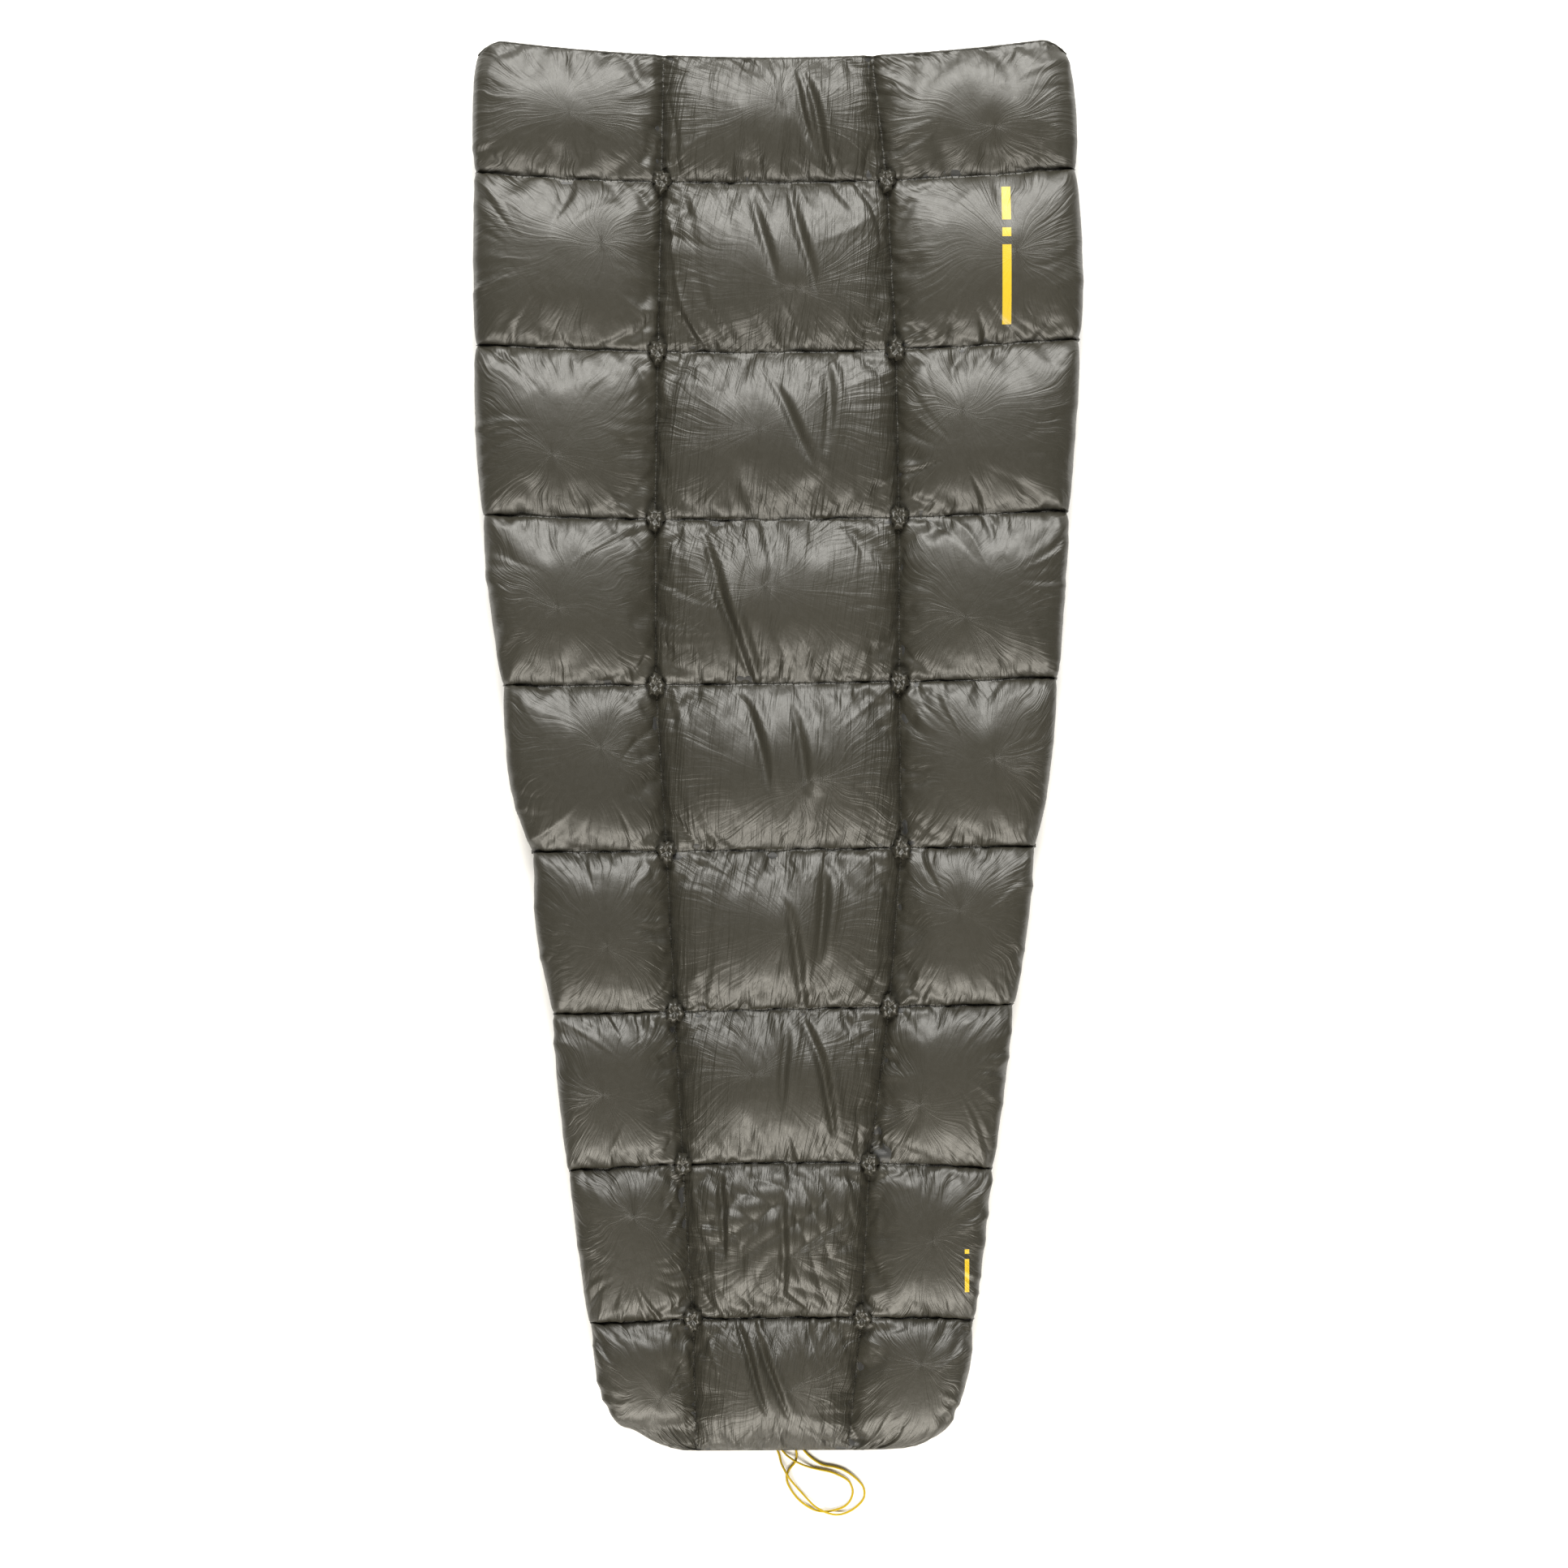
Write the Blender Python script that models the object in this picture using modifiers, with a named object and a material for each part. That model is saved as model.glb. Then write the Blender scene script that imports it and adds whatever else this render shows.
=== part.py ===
"""Down camp quilt, laid on its open side: a tapered top panel of sewn-through down boxes, its two side flaps
folded underneath, and a zipped foot box whose end is drawn in by an elastic cord.

Frame: metres, +Z up, +Y towards the head end, origin on the ground under the middle of the quilt.
V is the height above the foot edge, measured along Y. The quilt is symmetric about X = 0.
"""

import math

import bmesh
import bpy
from mathutils import Vector

# Overall sizes
LENGTH = 1.899
SHOULDER_WIDTH = 0.822
FOOT_WIDTH = 0.529
HEAD_WIDTH = 0.800
HEAD_DIP = 0.033
HEAD_CORNER_DROP = 0.026
HEAD_CORNER_SHARE = 0.92

# Rows of boxes, counted from the head
ROWS = 9
HEAD_ROW = 0.184
FOOT_ROW = 0.176
ROW_GROWTH = 1.117
SEAM_SAG_HEAD = 0.018
SEAM_SAG_FOOT = -0.009
FOOT_BOX_ROWS = 3
GUSSET_ROWS = 1

# Columns of boxes on the top panel
CENTRE_FOOT_WIDTH = 0.227
CENTRE_MIDDLE_WIDTH = 0.328
CENTRE_HEAD_WIDTH = 0.280
CENTRE_MOST_SHARE = 0.92

# Rounded foot corners and side outline
FOOT_CORNER_ACROSS = 0.120
FOOT_CORNER_ALONG = 0.090
FOOT_TAPER = 0.140
SIDE_FLARE = 0.85

# Opening down the back
BACK_GAP_HEAD = 0.290
ZIP_GAP = 0.0150
FOOT_MOUTH = 0.075

# Heights
UNDER_LEVEL = 0.016
TOP_LEVEL = 0.042
FOLD_LEVEL = 0.029
FOLD_GAP = 0.004
FOOT_FOLD_LEVEL = 0.026
FOLD_REACH = 0.060
TOP_PUFF = 0.031
LINER_PUFF = 0.009
UNDER_PUFF = 0.050
FABRIC = 0.0006
GAP = 0.0005
SEAM_GAP = 0.0008
PANEL_GAP = 0.0015
PUFF_POWER = 0.6
CELLS = 4
WELD = 0.00001

# Line that the side flaps turn about
FLAP_AXIS_OUT = 0.012

# Zip
ZIP_END_GAP = 0.006
TAPE_THICK = 0.0006
TAPE_EDGE_GAP = 0.0007
COIL_WIDE = 0.0021
COIL_TALL = 0.0024
COIL_INNER = 0.0007
SLIDER_LONG = 0.0120
SLIDER_WIDE = 0.0086
SLIDER_PLATE = 0.0012
SLIDER_WEB = 0.0008
PULL_LONG = 0.0220
PULL_WIDE = 0.0050
PULL_THICK = 0.0012
PIN_RADIUS = 0.0006
PIN_CLEARANCE = 0.00035
SLIDER_BELOW_TOP = 0.0040
LUG_HALF_LONG = 0.0012
LUG_BELOW_PIN = 0.00108
KNUCKLE_RADIUS = 0.0018

# Cord lock, lying across the quilt with its button to +X
LOCK_X = 0.0010
LOCK_V = 0.0660
LOCK_Z = 0.0078
LOCK_RADIUS = 0.0065
LOCK_LONG = 0.0220
LOCK_BORE = 0.0046
LOCK_FLOOR = 0.0025
BUTTON_CLEARANCE = 0.0003
BUTTON_PROUD = 0.0060
BUTTON_TRAVEL = 0.0020
SLOT_OFFSET = 0.0030
SLOT_LONG = 0.0084
SLOT_TALL = 0.0038
SPRING_WIRE = 0.0003
SPRING_RADIUS = 0.0034
SPRING_ROOM = 0.0048
SPRING_TURNS = 3
SPRING_STEPS = 12

# Drawcord
CORD_DIAMETER = 0.0030
CORD_POINTS = 79
CORD_ROUTE = (
    (0.0019, -0.8906, 0.0078),
    (0.0012, -0.9020, 0.0068),
    (-0.0030, -0.9200, 0.0038),
    (-0.0078, -0.9360, 0.0020),
    (-0.0096, -0.9494, 0.0018),
    (-0.0062, -0.9603, 0.0020),
    (-0.0033, -0.9713, 0.0038),
    (0.0033, -0.9844, 0.0058),
    (0.0105, -0.9954, 0.0040),
    (0.0230, -1.0100, 0.0019),
    (0.0372, -1.0250, 0.0040),
    (0.0482, -1.0330, 0.0056),
    (0.0591, -1.0378, 0.0056),
    (0.0701, -1.0403, 0.0042),
    (0.0820, -1.0385, 0.0020),
    (0.0950, -1.0318, 0.0017),
    (0.1058, -1.0210, 0.0017),
    (0.1084, -1.0110, 0.0017),
    (0.1051, -1.0005, 0.0017),
    (0.0935, -0.9888, 0.0017),
    (0.0812, -0.9808, 0.0017),
    (0.0679, -0.9762, 0.0017),
    (0.0515, -0.9728, 0.0017),
    (0.0361, -0.9630, 0.0017),
    (0.0250, -0.9505, 0.0017),
    (0.0215, -0.9380, 0.0017),
    (0.0120, -0.9290, 0.0017),
    (0.0015, -0.9310, 0.0017),
    (-0.0035, -0.9400, 0.0017),
    (-0.0040, -0.9494, 0.0018),
    (0.0022, -0.9585, 0.0028),
    (0.0110, -0.9650, 0.0052),
    (0.0180, -0.9690, 0.0058),
    (0.0274, -0.9735, 0.0040),
    (0.0383, -0.9773, 0.0019),
    (0.0504, -0.9800, 0.0017),
    (0.0635, -0.9830, 0.0017),
    (0.0767, -0.9885, 0.0017),
    (0.0868, -0.9950, 0.0017),
    (0.0912, -1.0030, 0.0017),
    (0.0925, -1.0110, 0.0017),
    (0.0895, -1.0205, 0.0017),
    (0.0832, -1.0280, 0.0017),
    (0.0740, -1.0325, 0.0017),
    (0.0635, -1.0352, 0.0017),
    (0.0520, -1.0362, 0.0017),
    (0.0400, -1.0335, 0.0017),
    (0.0274, -1.0265, 0.0017),
    (0.0164, -1.0165, 0.0017),
    (0.0077, -1.0041, 0.0017),
    (0.0037, -0.9940, 0.0017),
    (0.0044, -0.9844, 0.0017),
    (0.0088, -0.9768, 0.0017),
    (0.0148, -0.9695, 0.0017),
    (0.0170, -0.9610, 0.0018),
    (0.0160, -0.9505, 0.0036),
    (0.0140, -0.9390, 0.0058),
    (0.0115, -0.9260, 0.0062),
    (0.0085, -0.9120, 0.0068),
    (0.0064, -0.9000, 0.0076),
    (0.0061, -0.8906, 0.0078),
)

# Finishes: colour, roughness, metallic
SHELL_FINISH = ("olive_shell", (0.075, 0.070, 0.060), 0.42, 0.0)
LINER_FINISH = ("dark_liner", (0.030, 0.030, 0.029), 0.50, 0.0)
DOWN_FINISH = ("down_fill", (0.720, 0.700, 0.650), 0.95, 0.0)
CORD_FINISH = ("yellow_cord", (0.780, 0.560, 0.020), 0.70, 0.0)
LOCK_FINISH = ("black_plastic", (0.015, 0.015, 0.016), 0.45, 0.0)
STEEL_FINISH = ("spring_steel", (0.560, 0.560, 0.570), 0.30, 1.0)
ZIP_FINISH = ("zip_tape", (0.025, 0.025, 0.024), 0.75, 0.0)


def clear_scene():
    for old in list(bpy.data.objects):
        bpy.data.objects.remove(old, do_unlink=True)


def make_collection(name):
    collection = bpy.data.collections.new(name)
    bpy.context.scene.collection.children.link(collection)
    return collection


def make_material(finish):
    name, colour, roughness, metallic = finish
    material = bpy.data.materials.get(name) or bpy.data.materials.new(name)
    material.use_nodes = True
    shader = material.node_tree.nodes["Principled BSDF"]
    shader.inputs["Base Color"].default_value = (*colour, 1.0)
    shader.inputs["Roughness"].default_value = roughness
    shader.inputs["Metallic"].default_value = metallic
    return material


def lerp(a, b, share):
    return a + (b - a) * share


# ---------------------------------------------------------------- outline of the quilt


def seam_heights():
    """Heights V of the row boundaries, from the foot edge (0) to the head edge (LENGTH)."""
    middle = ROWS - 2
    shortest = (LENGTH - HEAD_ROW - FOOT_ROW) / (middle * (1 + ROW_GROWTH) / 2)
    heights = [0.0, FOOT_ROW]
    for row in range(middle):
        heights.append(heights[-1] + shortest * lerp(1, ROW_GROWTH, row / (middle - 1)))
    heights.append(LENGTH)
    return heights


SEAMS = seam_heights()
SHOULDER_V = SEAMS[ROWS - 2]
ZIP_TOP = SEAMS[FOOT_BOX_ROWS]
FLAP_START = SEAMS[FOOT_BOX_ROWS + GUSSET_ROWS]
FLAP_ROWS = ROWS - FOOT_BOX_ROWS - GUSSET_ROWS


def half_width(v):
    """Half the width of the folded quilt at height v: tapered sides, then the rounded foot corners."""
    if v < FOOT_ROW:
        width = FOOT_WIDTH / 2 - FOOT_TAPER * (FOOT_ROW - v)
    elif v < SHOULDER_V:
        t = (v - FOOT_ROW) / (SHOULDER_V - FOOT_ROW)
        rise = SIDE_FLARE * (t - 2 * t * t + t**3) + 3 * t * t - 2 * t**3
        width = lerp(FOOT_WIDTH, SHOULDER_WIDTH, rise) / 2
    else:
        t = (v - SHOULDER_V) / (LENGTH - SHOULDER_V)
        width = lerp(SHOULDER_WIDTH, HEAD_WIDTH, t * t) / 2
    if v < FOOT_CORNER_ALONG:
        u = 1 - v / FOOT_CORNER_ALONG
        width -= FOOT_CORNER_ACROSS * (1 - math.sqrt(1 - u * u))
    return width


def centre_half_width(v):
    """Half the width of the centre column, through its foot, middle and head widths."""
    t = 2 * v / LENGTH - 1
    foot, middle, head = CENTRE_FOOT_WIDTH / 2, CENTRE_MIDDLE_WIDTH / 2, CENTRE_HEAD_WIDTH / 2
    width = middle + t * (head - foot) / 2 + t * t * ((head + foot) / 2 - middle)
    return min(width, CENTRE_MOST_SHARE * half_width(v))


def back_half_gap(v):
    """Half the gap between the two underside edges: the zip in the foot box, then the open back."""
    if v <= ZIP_TOP:
        return ZIP_GAP / 2
    t = (v - ZIP_TOP) / (LENGTH - ZIP_TOP)
    return ZIP_GAP / 2 + (BACK_GAP_HEAD - ZIP_GAP) / 2 * math.sin(t * math.pi / 2)


def bend_of_seam(v, across):
    """How far a row line at height v moves along Y at the share across of the half width."""
    foot_share = max(0.0, 1 - v / FOOT_ROW)
    head_share = max(0.0, 1 - (LENGTH - v) / HEAD_ROW)
    middle = lerp(SEAM_SAG_FOOT, SEAM_SAG_HEAD, v / LENGTH) * (1 - across * across)
    corner = max(0.0, (abs(across) - HEAD_CORNER_SHARE) / (1 - HEAD_CORNER_SHARE)) ** 2
    dip = HEAD_DIP * (HEAD_CORNER_SHARE**2 - across * across)
    if corner > 0:
        dip = HEAD_CORNER_DROP * corner
    return -middle * (1 - foot_share - head_share) - dip * head_share


def fold_rise(distance):
    """Share, 0 to 1, of a layer's full spread from the fold level at this distance from the fold."""
    u = min(1.0, max(0.0, 1 - distance / FOLD_REACH))
    return math.sqrt(1 - u * u)


def layer_level(is_top, x, v):
    """Height of a layer's middle surface, which closes on the fold line at the sides and the foot."""
    side = fold_rise(half_width(v) - abs(x))
    fold = FOLD_LEVEL + (FOLD_GAP if is_top else -FOLD_GAP) / 2
    level = lerp(fold, TOP_LEVEL if is_top else UNDER_LEVEL, side)
    if is_top:
        level = lerp(min(level, FOOT_FOLD_LEVEL), level, fold_rise(v))
    return level


# ---------------------------------------------------------------- sheets and down boxes


def stations(cells):
    """Shares 0 to 1 across a box, closer together at its seams."""
    return [(1 - math.cos(math.pi * k / cells)) / 2 for k in range(cells + 1)]


def puff(s, t):
    return max(0.0, math.sin(math.pi * s) * math.sin(math.pi * t)) ** PUFF_POWER


class Panel:
    """One layer of the quilt as a grid: columns of boxes between lines across, rows between seam heights."""

    def __init__(self, is_top, lines, rows):
        self.is_top = is_top
        self.lines = lines
        self.rows = rows

    def place(self, column, row, s, t):
        """Point on the layer's middle surface at the shares s and t of a box."""
        v = lerp(self.rows[row], self.rows[row + 1], t)
        edges = self.lines(v)
        x = lerp(edges[column], edges[column + 1], s)
        y = v + bend_of_seam(v, x / half_width(v)) - LENGTH / 2
        return Vector((x, y, layer_level(self.is_top, x, v)))

    def column_width(self, column, row):
        edges = self.lines(lerp(self.rows[row], self.rows[row + 1], 0.5))
        return edges[column + 1] - edges[column]


def top_lines(v):
    width, centre = half_width(v), centre_half_width(v)
    return (-width, -centre, centre, width)


def left_lines(v):
    return (-half_width(v), -back_half_gap(v))


def right_lines(v):
    return (back_half_gap(v), half_width(v))


def whole_lines(v):
    return (-half_width(v), half_width(v))


TOP_PANEL = Panel(True, top_lines, SEAMS)
FOOT_ROWS = SEAMS[1 : FOOT_BOX_ROWS + GUSSET_ROWS + 1]
FLAP_SEAMS = [FLAP_START, *SEAMS[FOOT_BOX_ROWS + GUSSET_ROWS + 1 :]]


def height_above(panel, s, t):
    """Rise of the fill's upper face over the middle surface."""
    return (TOP_PUFF if panel.is_top else LINER_PUFF) * puff(s, t)


def height_below(panel, middle, s, t):
    """Drop of the fill's lower face. The underside lies flat where it meets the ground."""
    if panel.is_top:
        return LINER_PUFF * puff(s, t)
    ground = middle.z - FABRIC - GAP
    return min(UNDER_PUFF * puff(s, t), ground)


def box_diagonal(i, j):
    """True where a cell's diagonal rises to the right, so that every diagonal points at its box's middle."""
    return (i % CELLS < CELLS / 2) == (j % CELLS < CELLS / 2)


def wide_diagonal(i, j):
    """The same rule for the underside of the foot, whose first row is one wide box."""
    if j < CELLS:
        return (i < CELLS + 0.5) == (j < CELLS / 2)
    return box_diagonal(i if i < CELLS else i - 1, j)


def grid_mesh(columns, rows, diagonal=box_diagonal):
    """A flat grid from Blender's own grid, split into triangles, with its corners listed by column and row."""
    mesh = bmesh.new()
    bmesh.ops.create_grid(mesh, x_segments=columns, y_segments=rows, size=0.5)
    corners = {}
    for vert in mesh.verts:
        corners[vert] = (round((vert.co.x + 0.5) * columns), round((vert.co.y + 0.5) * rows))
    for face in list(mesh.faces):
        around = {corners[v]: v for v in face.verts}
        i, j = min(around)
        ends = ((i, j), (i + 1, j + 1)) if diagonal(i, j) else ((i + 1, j), (i, j + 1))
        bmesh.utils.face_split(face, around[ends[0]], around[ends[1]])
    return mesh, corners


def finish_object(name, mesh, collection, finish):
    data = bpy.data.meshes.new(name)
    mesh.to_mesh(data)
    mesh.free()
    data.materials.append(make_material(finish))
    made = bpy.data.objects.new(name, data)
    collection.objects.link(made)
    data.shade_smooth()
    data.set_sharp_from_angle(angle=math.radians(40))
    return made


def thicken(sheet):
    """Gives a skin its fabric thickness, on its outer side."""
    fabric = sheet.modifiers.new("fabric", "SOLIDIFY")
    fabric.thickness = FABRIC
    fabric.offset = 1.0
    fabric.use_even_offset = True


def add_half(whole, half, is_upper):
    """Adds one face of a fill to the whole body, turned to face outwards."""
    if not is_upper:
        bmesh.ops.reverse_faces(half, faces=half.faces[:])
    data = bpy.data.meshes.new("half")
    half.to_mesh(data)
    half.free()
    whole.from_mesh(data)
    bpy.data.meshes.remove(data)


def faceted_place(place, s, t):
    """Point at the shares s and t of a box, on the flat facets between its stations."""
    share = stations(CELLS)
    i = min(CELLS - 1, sum(1 for k in share[1:] if s >= k))
    j = min(CELLS - 1, sum(1 for k in share[1:] if t >= k))
    along_s = (s - share[i]) / (share[i + 1] - share[i])
    along_t = (t - share[j]) / (share[j + 1] - share[j])
    low = place(share[i], share[j]).lerp(place(share[i + 1], share[j]), along_s)
    high = place(share[i], share[j + 1]).lerp(place(share[i + 1], share[j + 1]), along_s)
    return low.lerp(high, along_t)


def down_box(name, panel, column, row, collection, low_inset=SEAM_GAP):
    """The fill of one box: two grids with a shared rim, kept clear of the seams round it."""
    across, along = stations(CELLS), stations(CELLS)
    inset = SEAM_GAP / panel.column_width(column, row)
    row_length = panel.rows[row + 1] - panel.rows[row]
    across[0], across[-1] = inset, 1 - inset
    along[0], along[-1] = low_inset / row_length, 1 - SEAM_GAP / row_length
    whole = bmesh.new()
    for side in (1, -1):
        part, corners = grid_mesh(CELLS, CELLS)
        for vert, (i, j) in corners.items():
            s, t = across[i], along[j]
            middle = faceted_place(lambda a, b: panel.place(column, row, a, b), s, t)
            rim = i in (0, CELLS) or j in (0, CELLS)
            lift = 0.0
            if not rim:
                lift = height_above(panel, s, t) if side > 0 else -height_below(panel, middle, s, t)
            vert.co = middle + Vector((0, 0, lift))
        add_half(whole, part, side > 0)
    bmesh.ops.remove_doubles(whole, verts=whole.verts[:], dist=WELD)
    return finish_object(name, whole, collection, DOWN_FINISH)


def fabric_sheet(name, panel, side, collection, finish, low_gap=0.0):
    """A skin over (side 1) or under (side -1) the boxes of a panel, thickened away from the fill."""
    columns, rows = len(panel.lines(SHOULDER_V)) - 1, len(panel.rows) - 1
    share = stations(CELLS)
    mesh, corners = grid_mesh(columns * CELLS, rows * CELLS)
    for vert, (i, j) in corners.items():
        column, row = min(i // CELLS, columns - 1), min(j // CELLS, rows - 1)
        s, t = share[i - column * CELLS], share[j - row * CELLS]
        if j == 0:
            t = low_gap / (panel.rows[1] - panel.rows[0])
        middle = panel.place(column, row, s, t)
        if j == 0:
            lift = side * GAP
        elif side > 0:
            lift = height_above(panel, s, t) + GAP
        else:
            lift = -height_below(panel, middle, s, t) - GAP
        vert.co = middle + Vector((0, 0, lift))
    if side < 0:
        bmesh.ops.reverse_faces(mesh, faces=mesh.faces[:])
    thicken(finish_object(name, mesh, collection, finish))


def build_top(collection):
    """The top panel: shell, liner and one fill for each of its boxes."""
    for row in range(ROWS):
        for column, side in enumerate(("left", "centre", "right")):
            down_box(f"down_top_{ROWS - row}_{side}", TOP_PANEL, column, row, collection)
    fabric_sheet("shell_top", TOP_PANEL, 1, collection, SHELL_FINISH)
    fabric_sheet("liner_top", TOP_PANEL, -1, collection, LINER_FINISH)


def foot_grid_lines(v):
    """Lines across the underside of the foot: both halves and the strip between them."""
    edge, gap = half_width(v), back_half_gap(v)
    left = [lerp(-edge, -gap, s) for s in stations(CELLS)]
    return left + [-x for x in reversed(left)]


def foot_sheet(name, side, collection, finish):
    """Skin of the underside of the foot, slit for the zip above its last row."""
    rows = [FOOT_MOUTH, *FOOT_ROWS]
    count = len(rows) - 1
    share = stations(CELLS)
    wide = 2 * CELLS + 1
    mesh, corners = grid_mesh(wide, count * CELLS, wide_diagonal)
    helper = Panel(False, whole_lines, rows)
    for vert, (i, j) in corners.items():
        row = min(j // CELLS, count - 1)
        t = share[j - row * CELLS]
        v = lerp(rows[row], rows[row + 1], t)
        x = foot_grid_lines(v)[i]
        middle = Vector((x, v + bend_of_seam(v, x / half_width(v)) - LENGTH / 2, layer_level(False, x, v)))
        s = end_share(i) if row == 0 else share[i if i <= CELLS else wide - i]
        if side > 0:
            lift = height_above(helper, s, t) + GAP
        else:
            lift = -height_below(helper, middle, s, t) - GAP
        vert.co = middle + Vector((0, 0, lift))
    slit = [
        f
        for f in mesh.faces
        if all(corners[v][0] in (CELLS, CELLS + 1) for v in f.verts)
        and min(corners[v][1] for v in f.verts) >= CELLS
    ]
    bmesh.ops.delete(mesh, geom=slit, context="FACES")
    if side < 0:
        bmesh.ops.reverse_faces(mesh, faces=mesh.faces[:])
    thicken(finish_object(name, mesh, collection, finish))


def end_share(i):
    """Share across the last row's single box for line i of the foot grid."""
    return i / (2 * CELLS + 1)


def end_box(name, collection):
    """The single full-width fill between the zip's foot end and the drawn mouth."""
    rows = [FOOT_MOUTH, FOOT_ROWS[0]]
    share = stations(CELLS)
    inset_t = SEAM_GAP / (rows[1] - rows[0])
    wide = 2 * CELLS + 1
    helper = Panel(False, whole_lines, rows)
    whole = bmesh.new()
    for side in (1, -1):
        part, corners = grid_mesh(wide, CELLS, wide_diagonal)
        for vert, (i, j) in corners.items():
            t = {0: inset_t, CELLS: 1 - inset_t}.get(j, share[j])
            v = lerp(rows[0], rows[1], t)
            x = foot_grid_lines(v)[i]
            if i in (0, wide):
                x -= math.copysign(SEAM_GAP, x)
            middle = Vector((x, v + bend_of_seam(v, x / half_width(v)) - LENGTH / 2, 0))
            middle.z = layer_level(False, math.copysign(half_width(v), x) if i in (0, wide) else x, v)
            lift = 0.0
            if i not in (0, wide) and j not in (0, CELLS):
                s = end_share(i)
                lift = height_above(helper, s, t) if side > 0 else -height_below(helper, middle, s, t)
            vert.co = middle + Vector((0, 0, lift))
        add_half(whole, part, side > 0)
    bmesh.ops.remove_doubles(whole, verts=whole.verts[:], dist=WELD)
    return finish_object(name, whole, collection, DOWN_FINISH)


def build_foot(collection):
    """The underside of the foot box and of the gusset row above it."""
    end_box("down_foot_9", collection)
    for side, lines in (("left", left_lines), ("right", right_lines)):
        panel = Panel(False, lines, FOOT_ROWS)
        for row in range(len(FOOT_ROWS) - 1):
            down_box(f"down_foot_{ROWS - 1 - row}_{side}", panel, 0, row, collection)
    foot_sheet("shell_foot", -1, collection, SHELL_FINISH)
    foot_sheet("liner_foot", 1, collection, LINER_FINISH)


def build_flap(side, lines, collection):
    """One side flap, folded under the top panel. It starts a clear gap above the gusset row."""
    panel = Panel(False, lines, FLAP_SEAMS)
    for row in range(FLAP_ROWS):
        low = PANEL_GAP + SEAM_GAP if row == 0 else SEAM_GAP
        down_box(f"down_flap_{FLAP_ROWS - row}_{side}", panel, 0, row, collection, low_inset=low)
    fabric_sheet(f"flap_shell_{side}", panel, -1, collection, SHELL_FINISH, low_gap=PANEL_GAP)
    fabric_sheet(f"flap_liner_{side}", panel, 1, collection, LINER_FINISH, low_gap=PANEL_GAP)


# ---------------------------------------------------------------- hard pieces


def height_y(v):
    """Y of the height v on the centre line."""
    return v + bend_of_seam(v, 0.0) - LENGTH / 2


def extruded(name, outline, y_low, y_high, collection, finish):
    """A solid with this outline in X and Z, drawn out along Y."""
    curve = bpy.data.curves.new(name, "CURVE")
    curve.dimensions = "2D"
    curve.fill_mode = "BOTH"
    curve.extrude = (y_high - y_low) / 2
    spline = curve.splines.new("POLY")
    spline.points.add(len(outline) - 1)
    for point, (x, z) in zip(spline.points, outline):
        point.co = (x, -z, 0.0, 1.0)
    spline.use_cyclic_u = True
    drawn = bpy.data.objects.new(name, curve)
    bpy.context.scene.collection.objects.link(drawn)
    drawn.location = (0.0, (y_low + y_high) / 2, 0.0)
    drawn.rotation_euler = (-math.pi / 2, 0.0, 0.0)
    bpy.context.view_layer.update()
    graph = bpy.context.evaluated_depsgraph_get()
    data = bpy.data.meshes.new_from_object(drawn.evaluated_get(graph))
    data.transform(drawn.matrix_world)
    bpy.data.objects.remove(drawn, do_unlink=True)
    welded = bmesh.new()
    welded.from_mesh(data)
    bmesh.ops.remove_doubles(welded, verts=welded.verts[:], dist=WELD)
    bmesh.ops.recalc_face_normals(welded, faces=welded.faces[:])
    welded.to_mesh(data)
    welded.free()
    data.name = name
    data.materials.clear()
    data.materials.append(make_material(finish))
    made = bpy.data.objects.new(name, data)
    collection.objects.link(made)
    return made


def rectangle(x_low, x_high, z_low, z_high):
    return [(x_low, z_low), (x_high, z_low), (x_high, z_high), (x_low, z_high)]


def rod(name, radius, x_low, x_high, y, z, collection, finish, segments=24):
    """A solid cylinder along X."""
    mesh = bmesh.new()
    bmesh.ops.create_cone(
        mesh, cap_ends=True, segments=segments, radius1=radius, radius2=radius, depth=x_high - x_low
    )
    made = finish_object(name, mesh, collection, finish)
    made.rotation_euler = (0.0, math.pi / 2, 0.0)
    made.location = ((x_low + x_high) / 2, y, z)
    return made


def combine(target, other, operation):
    """Joins or cuts target with a helper object, which stays hidden."""
    other.hide_render = True
    other.display_type = "WIRE"
    step = target.modifiers.new(operation.lower(), "BOOLEAN")
    step.operation = operation
    step.solver = "MANIFOLD"
    step.object = other


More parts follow.
